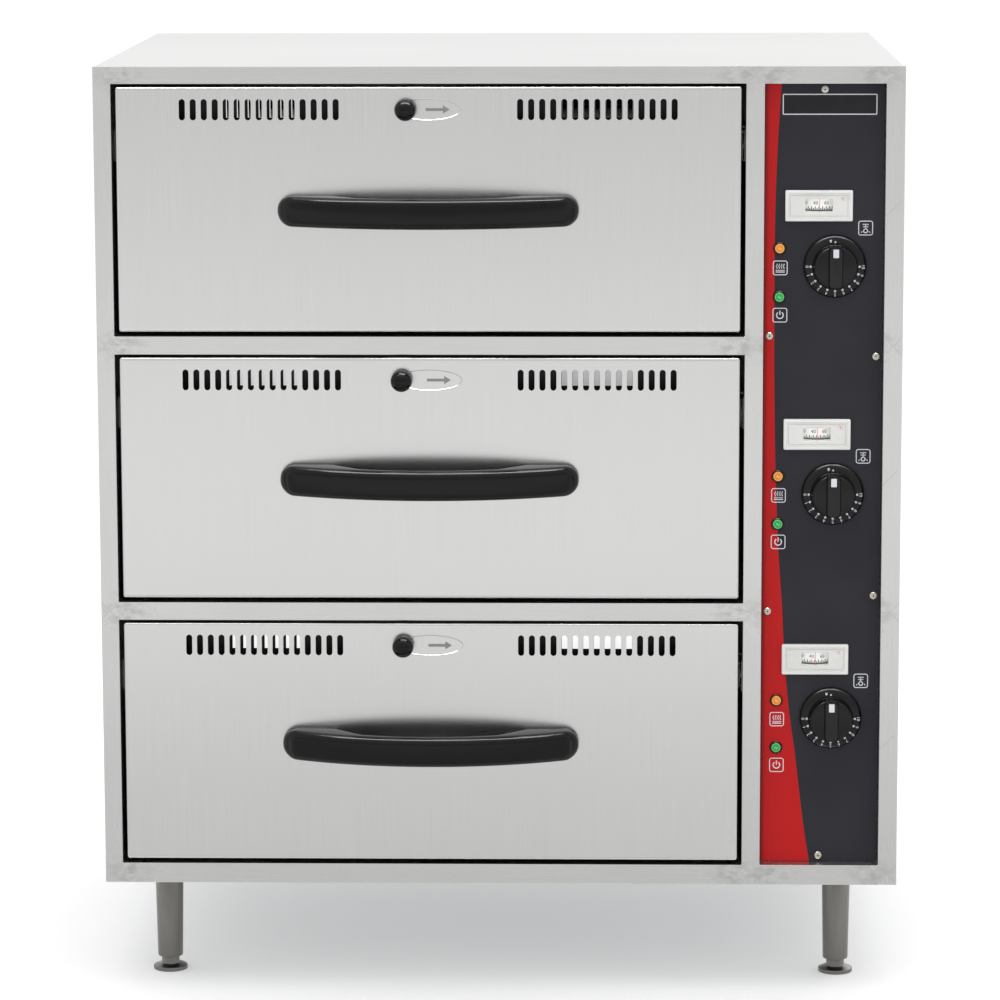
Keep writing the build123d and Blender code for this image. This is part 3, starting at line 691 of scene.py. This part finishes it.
def drawerFace(settings, spot):
    w, h, bend = settings["w"], shared["frontH"], settings["bend"]
    ventZ = h / 2 - shared["ventDrop"]
    levels = [(bend + settings["margin"], 0.0), (bend, 0.0)]
    levels += [(bend * (1 - sin(a)), -bend * (1 - cos(a))) for a in [radians(v) for v in range(15, 91, 15)]]
    levels.append((0.0, -settings["t"]))
    border = []
    for inset, _ in levels:
        corner = max(settings["leastCorner"], settings["corner"] - inset)
        border.append(rounded(w - 2 * inset, h - 2 * inset, corner, 4))
    rings = [outlineAt(spot, loop, depth) for loop, (_, depth) in zip(border, levels)]
    r = settings["slotW"] / 2
    reach = settings["slotH"] / 2 - r
    slots = []
    for side in (-1, 1):
        for i in range(settings["slots"]):
            x = side * settings["groupX"] + (i - (settings["slots"] - 1) / 2) * settings["pitch"]
            slots.append(arc(r, 0, pi, 8, (x, ventZ + reach)) + arc(r, pi, 2 * pi, 8, (x, ventZ - reach)))
    ovals = []
    for grow, _ in settings["ovalLevels"]:
        a, b = settings["ovalW"] / 2 + grow, settings["ovalH"] / 2 + grow
        ovals.append([(a * cos(pi * i / 36), ventZ + b * sin(pi * i / 36)) for i in range(72)])
    depths = [share * settings["ovalDepth"] for _, share in settings["ovalLevels"]]
    wall = [outlineAt(spot, loop, depth) for loop, depth in zip(ovals, depths)]
    stem = arc(settings["stemR"], pi / 2, 3 * pi / 2, 8, (settings["stemFrom"], ventZ))
    stem += arc(settings["stemR"], -pi / 2, pi / 2, 8, (settings["stemTo"], ventZ))
    whole = merged((
        lofted(rings, caps=False),
        sheet(border[0], [*slots, ovals[0]], 0.0, spot),
        lofted(wall, caps=False),
        sheet(ovals[-1], [stem], -settings["ovalDepth"], spot),
    ))
    bmesh.ops.remove_doubles(whole, verts=whole.verts, dist=1e-6)
    bmesh.ops.recalc_face_normals(whole, faces=whole.faces)
    largest = max(whole.faces, key=lambda face: face.calc_area())
    if largest.normal.y > 0:
        bmesh.ops.reverse_faces(whole, faces=whole.faces)
    return whole


for n in (1, 2, 3):
    z = frontLow(n) + shared["frontH"] / 2
    face = drawerFace(front, facing(shared["drawerX"], shared["faceY"], z))
    piece = finished(f"slotted_front_{n}", face, "steelFront", f"drawer_{n}", 40)
    # The cut edges stay sharp
    uses = [0] * len(piece.data.edges)
    for loop in piece.data.loops:
        uses[loop.edge_index] += 1
    for edge in piece.data.edges:
        edge.use_edge_sharp = edge.use_edge_sharp or uses[edge.index] == 1
    thicken(piece, front["skin"])
    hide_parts(f"drawer_front_{n}")
print("fronts")


# Handles

handle = {
    "halfW": 0.1385,
    "halfH": 0.014,
    "endD": 0.015,
    "reach": 0.052,
    "barT": 0.015,
    "gripHalf": 0.0905,
    "slant": 0.026,
    "stations": 72,
    "around": 40,
    "corner": 0.0072,
    "bend": 0.0135,
    # The hollow's depth at the grip's ends, and what is left of height and depth at the tips, as shares
    "hollow": 0.72,
    "tipH": 0.1,
    "tipD": 0.4,
}


def bow(x, halfW, endY, middleY):
    # Depth on the arc through both ends and the middle
    sag = middleY - endY
    radius = (halfW ** 2 + sag ** 2) / (2 * sag)
    return middleY - radius + sqrt(max(0.0, radius ** 2 - x ** 2))


def handleMesh(settings):
    rings = []
    innerX = settings["gripHalf"] - settings["slant"]
    innerMiddle = settings["reach"] - settings["barT"]
    innerEnd = innerMiddle * settings["hollow"]
    count = settings["stations"]
    for i in range(count + 1):
        t = -cos(pi * i / count)
        x = t * settings["halfW"]
        outer = bow(x, settings["halfW"], settings["endD"], settings["reach"])
        if abs(x) <= innerX:
            back = bow(x, innerX, innerEnd, innerMiddle)
        elif abs(x) <= settings["gripHalf"]:
            back = innerEnd * (settings["gripHalf"] - abs(x)) / settings["slant"]
        else:
            back = 0.0
        edge = settings["halfW"] - abs(x)
        rise = sqrt(max(0.0, 1 - (1 - min(1.0, edge / settings["bend"])) ** 2))
        halfH = settings["halfH"] * (settings["tipH"] + (1 - settings["tipH"]) * rise)
        depth = (outer - back) * (settings["tipD"] + (1 - settings["tipD"]) * rise)
        corner = min(settings["corner"], halfH * 0.95, depth * 0.48)
        outline = rounded(depth, 2 * halfH, corner, settings["around"] // 4 - 1)
        rings.append([Vector((x, -(back + depth / 2) - px, py)) for px, py in outline])
    return lofted(rings)


for n in (1, 2, 3):
    z = frontLow(n) + shared["frontH"] / 2
    mesh = handleMesh(handle)
    mesh.transform(Matrix.Translation((shared["drawerX"], shared["faceY"], z)))
    piece = finished(f"bow_handle_{n}", mesh, "black", f"drawer_{n}", 50)
    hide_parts(f"handle_{n}")
print("handles")


# Vent knobs and escutcheons

ventKnob = {
    "x": -0.0255,
    "radius": 0.01,
    "height": 0.018,
    "stem": 0.003,
    "back": -0.0363,
    "collar": ((0.0066, 0.0006), (0.0070, 0.0010), (0.0070, 0.0020)),
    "arrowX": 0.009,
    "arrowLen": 0.022,
    "arrowHead": 0.0062,
    "arrowWide": 0.0038,
    "arrowThin": 0.0013,
    "arrowT": 0.0004,
}
for n in (1, 2, 3):
    shift = shared["damperTravel"] if shared["open"][n] else 0.0
    z = frontLow(n) + shared["frontH"] - shared["ventDrop"]
    spot = facing(shared["drawerX"] + ventKnob["x"] + shift, shared["faceY"], z)
    r, h = ventKnob["radius"], ventKnob["height"]
    profile = [(axis, ventKnob["back"]), (ventKnob["stem"], ventKnob["back"]), (ventKnob["stem"], 0.0006)]
    profile += ventKnob["collar"]
    profile += [(r * cos(a), h * 0.49 + h * 0.51 * sin(a)) for a in [radians(v) for v in range(-45, 86, 10)]]
    profile.append((axis, h))
    ball = turned(profile, 40, spot)
    piece = finished(f"vent_pull_{n}", ball, "black", f"vent_{n}", 50)
    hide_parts(f"vent_knob_{n}")
    # A plain arrow, pressed up in the oval; its darker steel is painted shade of the relief
    tail = ventKnob["arrowX"] - ventKnob["arrowLen"] / 2
    tip = ventKnob["arrowX"] + ventKnob["arrowLen"] / 2
    neck = tip - ventKnob["arrowHead"]
    wide, thin = ventKnob["arrowWide"], ventKnob["arrowThin"]
    outline = [(tail, -thin), (neck, -thin), (neck, -wide), (tip, 0), (neck, wide), (neck, thin), (tail, thin)]
    centre = facing(shared["drawerX"], shared["faceY"] + front["ovalDepth"], z)
    arrow = plateShape(outline, ventKnob["arrowT"], centre)
    finished(f"vent_arrow_{n}", arrow, "shadedArrowSteel", f"drawer_{n}")
print("vents")


# Control knobs

knob = {
    "x": 0.0105,
    "y": -0.2545,
    "skirtR": 0.029,
    "capR": 0.02,
    "capTop": 0.0185,
    "gripTop": 0.0235,
    "gripHalfW": 0.0060,
    "gripHalfL": 0.0185,
    "gripCorner": 0.0034,
    "marks": 11,
    "markStep": 18.0,
    "markR": 0.0225,
    "figureR": 0.02575,
    "figureSize": 0.0042,
    "printT": 0.00025,
}


def knobParts(settings, spot):
    rim, capR, top = settings["skirtR"], settings["capR"], settings["capTop"]
    skirt = [
        (axis, 0.0), (rim - 0.0008, 0.0), (rim, 0.0006), (rim, 0.0022), (rim - 0.0004, 0.0030),
        (rim - 0.0016, 0.0042), (0.0262, 0.0051), (0.0225, 0.0056), (0.0212, 0.0058), (0.0208, 0.0054),
        (0.0204, 0.0054),
    ]
    cap = [
        (capR, 0.0058), (capR - 0.0001, top - 0.0022), (capR - 0.0006, top - 0.0010),
        (capR - 0.0016, top - 0.0003), (capR - 0.003, top), (axis, top),
    ]
    body = turned(skirt + cap, 72, spot)
    levels = (
        (top - 0.001, -0.0012), (top + 0.0012, -0.0002), (settings["gripTop"] - 0.0012, 0.0),
        (settings["gripTop"] - 0.0003, 0.0004), (settings["gripTop"], 0.0012),
    )
    rings = []
    for height, inset in levels:
        w, d = 2 * (settings["gripHalfW"] - inset), 2 * (settings["gripHalfL"] - inset)
        rings.append(outlineAt(spot, rounded(w, d, settings["gripCorner"], 5), height))
    return body, lofted(rings), rod(0.003, -0.014, 0.0, 20, spot)


def knobPrint(settings, spot):
    # Round marks and figures on the skirt, and the small signs between the ends of the scale
    marks = []
    for i in range(settings["marks"]):
        angle = radians(180 + settings["markStep"] * i)
        x, y = cos(angle), sin(angle)
        dot = spot @ Matrix.Translation((settings["markR"] * x, settings["markR"] * y, 0.0055))
        marks.append(rod(0.0011, 0.0, settings["printT"], 12, dot))
        base = spot @ Matrix.Translation((settings["figureR"] * x, settings["figureR"] * y, 0.00515))
        turn = Matrix.Rotation(angle - pi / 2, 4, "Z")
        marks.append(lettering(str(i), settings["figureSize"], base @ turn, 0.0003))
    top = spot @ Matrix.Translation((0.0, 0.0228, 0.0055))
    marks.append(rod(0.0009, 0.0, settings["printT"], 12, top))
    side = spot @ Matrix.Translation((-0.0042, 0.0236, 0.0054))
    wedge = [(-0.0006, -0.0012), (0.0006, -0.0012), (0.0012, 0.0012), (-0.0012, 0.0012)]
    marks.append(plateShape(wedge, 0.0003, side))
    return marks


for n in (1, 2, 3):
    spot = facing(shared["panelX"] + knob["x"], knob["y"], shared["knobRise"][n])
    body, grip, stem = knobParts(knob, spot)
    rider = f"control_knob_{n}"
    piece = finished(f"dial_knob_{n}", merged([body, stem]), "knob", rider, 40)
    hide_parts(f"knob_{n}")
    finished(f"dial_grip_{n}", grip, "grip", rider, 40)
    figures = merged(knobPrint(knob, spot))
    finished(f"dial_figures_{n}", figures, "printWhite", rider)
    pointer = spot @ Matrix.Translation((0.0, 0.0138, knob["gripTop"] - 0.0001))
    flag = plateShape(rounded(0.0052, 0.0078, 0.0006, 2), 0.0003, pointer)
    finished(f"dial_pointer_{n}", flag, "printWhite", rider)
print("knobs")


# Thermometers

meter = {
    "x": -0.0046,
    "rise": 0.056,
    "bezelW": 0.062,
    "bezelH": 0.0285,
    "bezelD": 0.004,
    "recess": 0.0012,
    "windowW": 0.025,
    "windowH": 0.0123,
    "caseHalfW": 0.025,
    "caseHalfH": 0.012,
    "caseWall": 0.002,
    "drumR": 0.018,
    "drumGap": 0.0006,
    "drumY": -0.2354,
    "baseRise": -0.0046,
    "tick": 0.0017,
    "figure": 0.0046,
    "figureStep": 0.0102,
    "printT": 0.00012,
}


def meterBezel(settings, spot):
    w, h, d = settings["bezelW"], settings["bezelH"], settings["bezelD"]
    windowW, windowH = settings["windowW"], settings["windowH"]
    floor = d - settings["recess"]
    levels = (
        (w, h, 0.0012, 0.0),
        (w, h, 0.0012, d - 0.0006),
        (w - 0.0014, h - 0.0014, 0.0009, d),
        (w - 0.0052, h - 0.0052, 0.0008, d),
        (w - 0.0058, h - 0.0058, 0.0006, floor),
        (windowW + 0.001, windowH + 0.001, 0.0004, floor),
        (windowW, windowH, 0.0003, d - 0.0018),
        (windowW, windowH, 0.0003, 0.0),
    )
    return lofted([outlineAt(spot, rounded(a, b, corner, 3), rise) for a, b, corner, rise in levels], caps=False)


def meterBox(settings, spot):
    # Four walls and a back round the drum
    w, h, wall = settings["caseHalfW"], settings["caseHalfH"], settings["caseWall"]
    back = 2 * (settings["drumR"] + settings["drumGap"]) + wall
    boxes = []
    for low, high in (
        ((-w, -h, -back), (w, -h + wall, 0.0)),
        ((-w, h - wall, -back), (w, h, 0.0)),
        ((-w, -h + wall, -back), (-w + wall, h - wall, 0.0)),
        ((w - wall, -h + wall, -back), (w, h - wall, 0.0)),
        ((-w + wall, -h + wall, -back), (w - wall, h - wall, -back + wall)),
    ):
        box = softBox(low, high, 0.0003)
        box.transform(spot)
        boxes.append(box)
    return boxes


def meterScale(settings, drum):
    # Base line, ticks and figures, drawn flat and then bent round the drum
    flat, base, t = Matrix.Identity(4), settings["baseRise"], settings["printT"]
    marks = [stroke([(v * mm, base) for v in range(-30, 31, 2)], 0.0016, t, flat)]
    for i in range(-20, 21):
        tall = 0.0036 if i % 2 == 0 else 0.0022
        place = i * settings["tick"]
        marks.append(stroke([(place, base), (place, base + tall)], 0.0008, t, flat))
    for i, text in enumerate(("0", "20", "40", "60", "80", "100")):
        place = Matrix.Translation(((i - 2.3) * settings["figureStep"], 0.0022, 0.0))
        marks.append(lettering(text, settings["figure"], place, t))
    for part in marks:
        for vertex in part.verts:
            angle = vertex.co.x / settings["drumR"]
            radius = settings["drumR"] + 0.00005 + vertex.co.z
            vertex.co = drum @ Vector((radius * sin(angle), vertex.co.y, radius * cos(angle)))
    return marks


for n in (1, 2, 3):
    x = shared["panelX"] + meter["x"]
    z = shared["knobRise"][n] + meter["rise"]
    spot = facing(x, shared["plateY"], z)
    floor = meter["bezelD"] - meter["recess"]
    case = merged([meterBezel(meter, spot), *meterBox(meter, spot)])
    piece = finished(f"meter_case_{n}", case, "white", "cabinet", 30)
    if n == 1:
        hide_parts("thermometer_cases")
    border = rounded(meter["bezelW"] - 0.0092, meter["bezelH"] - 0.0096, 0.0008, 3)
    inset = stroke(border, 0.0005, 0.0003, spot @ Matrix.Translation((0, 0, floor)), True)
    finished(f"meter_inset_{n}", inset, "whiteInset", "cabinet")
    marks = meterScale(meter, facing(x, meter["drumY"], z))
    finished(f"meter_scale_{n}", merged(marks), "printDark", f"scale_drum_{n}")
    half = meter["windowH"] / 2
    needle = softBox((0.0002, -half, 0.0004), (0.0006, half, 0.0007), 0.00005)
    needle.transform(spot)
    unit = lettering("°C", 0.0036, spot @ Matrix.Translation((0.0218, 0.0062, floor)), 0.0002)
    finished(f"meter_index_{n}", merged([needle, unit]), "printRed", "cabinet")
print("thermometers")


# Lamps

lamp = {
    "x": -0.0404,
    "amber": 0.0164,
    "green": -0.0286,
    "lensR": 0.0044,
    "bezel": [
        (axis, -0.014), (0.0048, -0.014), (0.0048, 0.0), (0.006, 0.0), (0.006, 0.0008), (0.0057, 0.0014),
        (0.0052, 0.0018), (0.0047, 0.0017), (0.0045, 0.0010), (axis, 0.0010),
    ],
}
lensProfile = [(axis, 0.0004), (lamp["lensR"], 0.0004), (lamp["lensR"], 0.0016)]
for angle in range(15, 76, 15):
    a = radians(angle)
    lensProfile.append((lamp["lensR"] * cos(a), 0.0016 + 0.0014 * sin(a)))
lensProfile.append((axis, 0.0030))
for colour in ("amber", "green"):
    bezels, lenses, cores = [], [], []
    for n in (1, 2, 3):
        spot = facing(shared["panelX"] + lamp["x"], shared["plateY"], shared["knobRise"][n] + lamp[colour])
        bezels.append(turned(lamp["bezel"], 32, spot))
        lenses.append(turned(lensProfile, 32, spot))
        cores.append(stroke(arc(0.0038, 0, 2 * pi * 31 / 32, 31), 0.0006, 0.0024, spot, True))
        filament = [(-0.0016, -0.0006), (-0.0006, 0.0010), (0.0006, -0.0010), (0.0016, 0.0006)]
        cores.append(stroke(filament, 0.0007, 0.0032, spot))
    piece = finished(f"{colour}_lamps", merged(lenses), colour, "cabinet")
    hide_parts(f"{colour}_lenses")
    finished(f"{colour}_lamp_cores", merged(cores), f"{colour}Light", "cabinet")
    piece = finished(f"{colour}_lamp_rings", merged(bezels), "bezel", "cabinet")
    if colour == "amber":
        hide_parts("lamp_bezels")
print("lamps")


# Printed signs: a square with round corners round each plain sign

sign = {
    "size": 0.0128,
    "line": 0.0008,
    "corner": 0.0019,
    "raise": 0.00012,
    "leftX": -0.0398,
    "rightX": 0.0385,
    "heatRise": -0.0017,
    "powerRise": -0.0456,
    "warmthRise": 0.0352,
}


def printed(points, width, spot, closed=False):
    return stroke(points, width, sign["raise"], spot, closed)


def square(spot):
    return printed(rounded(sign["size"], sign["size"], sign["corner"], 4), sign["line"], spot, True)


def heatSign(spot):
    parts = [square(spot)]
    for x in (-0.0032, -0.0011, 0.0011, 0.0032):
        wave = [(x + 0.0005 * sin(i * pi / 4), -0.0008 + i * 0.0046 / 12) for i in range(13)]
        parts.append(printed(wave, 0.0006, spot))
    for y, width in ((-0.0022, 0.0006), (-0.0038, 0.0009)):
        parts.append(printed([(-0.0042, y), (0.0042, y)], width, spot))
    return parts


def powerSign(spot):
    ring = printed(arc(0.0031, radians(125), radians(415), 24), 0.0010, spot)
    return [square(spot), ring, printed([(0, 0.0002), (0, 0.0042)], 0.0010, spot)]


def warmthSign(spot):
    bulb = arc(0.0018, 0, 2 * pi * 19 / 20, 19, (0, -0.0026))
    parts = [square(spot), printed(bulb, 0.0009, spot, True)]
    parts.append(printed([(0, -0.0010), (0, 0.0040)], 0.0010, spot))
    for half, y in ((0.0024, 0.0012), (0.0028, 0.0034)):
        parts.append(printed([(-half, y), (half, y)], 0.0007, spot))
    for side in (-1, 1):
        parts.append(printed([(side * 0.0042, -0.0042), (side * 0.0030, -0.0030)], 0.0007, spot))
    return parts


signs = []
for n in (1, 2, 3):
    x, y, z = shared["panelX"], shared["plateY"], shared["knobRise"][n]
    signs += heatSign(facing(x + sign["leftX"], y, z + sign["heatRise"]))
    signs += powerSign(facing(x + sign["leftX"], y, z + sign["powerRise"]))
    signs += warmthSign(facing(x + sign["rightX"], y, z + sign["warmthRise"]))
finished("printed_signs", merged(signs), "printWhite", "cabinet")

# A blank bordered plate at the top of the panel
blank = facing(shared["panelX"] + 0.0047, shared["plateY"], 0.8341)
border = stroke(rounded(0.0858, 0.0182, 0.0004, 2), 0.0009, 0.0004, blank, True)
finished("blank_plate_border", border, "printWhite", "cabinet")
field = softBox((-0.0428, -0.009, 0.0), (0.0428, 0.009, 0.0003), 0.0001)
field.transform(blank)
finished("blank_plate", field, "printDark", "cabinet")
print("signs")


# Screws

screw = {
    "headR": 0.0037,
    "headT": 0.002,
    "recess": 0.0016,
    "rearY": 0.303,
    "panel": [
        (0.2995, 0.8478), (0.2995, 0.1272), (0.2502, 0.620), (0.3488, 0.601), (0.3488, 0.376), (0.2502, 0.361),
    ],
}


def crossed(big, small):
    def radius(angle):
        quarter = abs((angle + pi / 4) % (pi / 2) - pi / 4)
        return big if quarter < radians(14) else small
    return radius


def panHead(spot):
    r, t = screw["headR"], screw["headT"]
    profile = [(axis, 0.0), (r, 0.0), (r, t * 0.35), (r * 0.95, t * 0.62), (r * 0.8, t * 0.86), (r * 0.58, t)]
    profile += [(crossed(0.0017, 0.0006), t), (crossed(0.0013, 0.0004), t * 0.25), (axis, t * 0.2)]
    return turned(profile, 48, spot)


heads = [panHead(facing(x, shared["plateY"], z)) for x, z in screw["panel"]]
piece = finished("panel_screw_heads", merged(heads), "screw", "cabinet")
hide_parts("panel_screws")
# Dark strokes set in the cross recesses of the panel screws: painted shade of the recesses
crosses = []
for x, z in screw["panel"]:
    spot = facing(x, shared["plateY"] - screw["headT"] * 0.3, z) @ Matrix.Rotation(0.5, 4, "Z")
    for ends in ([(-screw["recess"], 0), (screw["recess"], 0)], [(0, -screw["recess"]), (0, screw["recess"])]):
        crosses.append(stroke(ends, 0.0009, 0.0008, spot))
finished("panel_screw_recess_shade", merged(crosses), "gland", "cabinet")
rearSpots = [(x, z) for x in (-0.36, 0.36) for z in (0.13, 0.31, 0.49, 0.67, 0.85)]
rearSpots += [(x, z) for x in (-0.18, 0.0, 0.18) for z in (0.115, 0.858)]
backwards = Matrix.Rotation(-pi / 2, 4, "X")
heads = [panHead(Matrix.Translation((x, screw["rearY"], z)) @ backwards) for x, z in rearSpots]
finished("rear_screw_heads", merged(heads), "screw", "cabinet")
print("screws")


# Legs and feet

leg = {
    "x": 0.3195,
    "frontY": -0.199,
    "rearY": 0.243,
    "low": 0.013,
    "high": 0.102,
    "lowR": 0.012,
    "highR": 0.0135,
    "collarR": 0.0147,
    "boreR": 0.0062,
    "foot": [
        (axis, 0.0), (0.0158, 0.0), (0.0163, 0.0005), (0.0163, 0.0032), (0.0160, 0.0037), (0.0128, 0.0050),
        (0.0100, 0.0054), (0.0088, 0.0058), (0.0085, 0.0066), (0.0085, 0.0116), (0.0081, 0.0125),
        (0.0060, 0.0127), (0.0060, 0.0300), (axis, 0.0300),
    ],
}
legProfile = [
    (leg["boreR"], leg["low"]), (leg["lowR"] - 0.0012, leg["low"]), (leg["lowR"] - 0.0003, leg["low"] + 0.0004),
    (leg["lowR"], leg["low"] + 0.0014), (leg["highR"], leg["high"] - 0.0034),
    (leg["collarR"], leg["high"] - 0.0024), (leg["collarR"], leg["high"]), (leg["boreR"], leg["high"]),
]
corners = {
    "fl": (-leg["x"], leg["frontY"], 0),
    "rl": (-leg["x"], leg["rearY"], 0),
    "fr": (leg["x"], leg["frontY"], 0),
    "rr": (leg["x"], leg["rearY"], 0),
}
legs = [turned(legProfile, 48, Matrix.Translation(spot)) for spot in corners.values()]
piece = finished("leg_tubes", merged(legs), "steelLeg", "cabinet")
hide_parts("legs")
for corner in ("fl", "fr", "rl", "rr"):
    foot = turned(leg["foot"], 48, Matrix.Translation(corners[corner]))
    piece = finished(f"levelling_disc_{corner}", foot, "steelLeg", f"levelling_foot_{corner}")
    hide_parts(f"foot_{corner}")
print("legs")


# Pans, drawn from their rolled rim down to the bottom

pan = {
    "x": -0.0645,
    "y": -0.0545,
    "w": 0.53,
    "d": 0.325,
    "rim": 0.0125,
    "rimT": 0.0008,
    "depth": 0.15,
    "corner": 0.038,
    "leastCorner": 0.012,
    "taper": 0.0105,
    "wallFrom": 0.0025,
    "wallLeft": 0.018,
    "floorCurve": 0.014,
    "rise": 0.1868,
    "skin": 0.0007,
}


def panLevels(settings):
    # Width, depth, corner and height of each ring, from the rolled rim down to the floor
    w, d, rim, depth, rimT = [settings[key] for key in ("w", "d", "rim", "depth", "rimT")]
    mouthW, mouthD = w - 2 * rim, d - 2 * rim
    levels = []
    for inset, height in (
        (0.0012, 0.0), (0.0004, 0.0), (0.0, 0.0004), (0.0004, rimT), (0.0030, rimT), (rim - 0.0030, rimT),
        (rim - 0.0006, 0.0002),
    ):
        levels.append((w - 2 * inset, d - 2 * inset, settings["corner"] + rim - inset, height))
    for i in range(13):
        drop = settings["wallFrom"] + i / 12 * (depth - settings["wallLeft"])
        inset = settings["taper"] * drop / depth
        levels.append((mouthW - 2 * inset, mouthD - 2 * inset, settings["corner"] - inset * 0.4, -drop))
    for angle in (20, 40, 60, 75, 90):
        a = radians(angle)
        inset = settings["taper"] + settings["floorCurve"] * (1 - cos(a))
        corner = max(settings["leastCorner"], settings["corner"] - inset)
        levels.append((mouthW - 2 * inset, mouthD - 2 * inset, corner, -(depth - 0.0155) - 0.0147 * sin(a)))
    levels.append((mouthW * 0.7, mouthD * 0.6, 0.02, -depth + rimT))
    return levels


for n in (1, 2, 3):
    spot = Matrix.Translation((pan["x"], pan["y"], shared["openingLow"][n] + pan["rise"]))
    rings = [outlineAt(spot, rounded(w, d, corner, 8), height) for w, d, corner, height in panLevels(pan)]
    shell = lofted(rings, caps=False)
    shell.faces.new([v for v in shell.verts][-len(rings[0]):])
    piece = finished(f"gastro_pan_{n}", shell, "steelPan", f"drawer_{n}", 60)
    thicken(piece, pan["skin"])
    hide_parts(f"food_pan_{n}")
print("pans")


# Room, light and camera

def stageMaterial():
    # A pale sweep, painted a little darker just in front of the object and far out in front: painted shade. It also
    # glows a little, painted light that lightens the shadows cast on it
    material, graph = newMaterial("stage")
    place = graph.place()
    ahead = -graph.split(place)[1]
    cloud = graph.noise(place, 0.6, 2.0)
    near = graph.fit(ahead, 0.3, 0.5, 0.0, 1.0, True) * graph.fit(ahead, 0.9, 3.0, 1.0, 0.0, True)
    shade = (near + graph.fit(ahead, 4.5, 12.0, 0.0, 1.0, True) + (cloud - 0.5) * 0.05).least(1.0)
    pale = graph.blend(shade, (0.75, 0.75, 0.75, 1.0), (0.5, 0.5, 0.5, 1.0))
    graph.surface({
        "Base Color": pale,
        "Roughness": 0.9,
        "Specular IOR Level": 0.2,
        "Emission Color": pale,
        "Emission Strength": 0.4,
    })
    return material


floorRadius = 40.0
floorMesh = bmesh.new()
bmesh.ops.create_circle(floorMesh, cap_ends=True, segments=96, radius=floorRadius)
floorData = toMesh(floorMesh, "floor")
floorData.materials.append(stageMaterial())
floor = bpy.data.objects.new("floor", floorData)
bpy.context.scene.collection.objects.link(floor)

world = bpy.data.worlds.new("studio")
bpy.context.scene.world = world
world.use_nodes = True
sky = Graph(world.node_tree)
direction = sky.add("ShaderNodeTexCoord", output="Generated")
_, ahead, height = sky.split(direction)
dim = sky.fit(-ahead, 0.0, 0.6, 0.0, 1.0, True) * sky.fit(height, 0.15, 0.7, 1.0, 0.0, True)
background = sky.add("ShaderNodeBackground", inputs={"Color": (1.0, 1.0, 1.0, 1.0), "Strength": 1.02 - dim * 0.26})
sky.add("ShaderNodeOutputWorld", inputs=[background])

lights = {
    "overhead": {"spot": (0.0, -0.2, 3.2), "aim": (0.0, 0.0, 0.4), "size": (3.2, 3.2), "power": 30.0},
    "strip": {"spot": (0.0, -0.5, 2.5), "aim": (0.0, -0.3, 0.4), "size": (2.4, 0.3), "power": 50.0},
    "rear": {"spot": (1.8, 3.0, 2.2), "aim": (0.0, 0.0, 0.6), "size": (2.0, 2.0), "power": 18.0},
}
for name, settings in lights.items():
    data = bpy.data.lights.new(name, "AREA")
    data.shape = "RECTANGLE"
    data.size, data.size_y = settings["size"]
    data.energy = settings["power"]
    item = bpy.data.objects.new(name, data)
    bpy.context.scene.collection.objects.link(item)
    # The strip is there only for what mirrors it
    item.visible_diffuse = name != "strip"
    item.location = settings["spot"]
    aim = Vector(settings["aim"]) - Vector(settings["spot"])
    item.rotation_euler = aim.to_track_quat("-Z", "Y").to_euler()

view = bpy.context.scene.view_settings
view.view_transform = "Standard"
view.look = "None"
view.exposure = 0.0

shot = {
    "lens": 157.1,
    "sensor": 36.0,
    "far": 200.0,
    "spot": (0.104, -4.2709, 1.1134),
    "turns": ((1.478, "Z"), (90 - 9.155, "X"), (-0.143, "Z")),
}
camera = bpy.data.cameras.new("camera")
camera.lens = shot["lens"]
camera.sensor_width = shot["sensor"]
camera.clip_end = shot["far"]
eye = bpy.data.objects.new("camera", camera)
bpy.context.scene.collection.objects.link(eye)
pose = Matrix.Translation(shot["spot"])
for angle, around in shot["turns"]:
    pose = pose @ Matrix.Rotation(radians(angle), 4, around)
eye.matrix_world = pose
bpy.context.scene.camera = eye
print("stage")
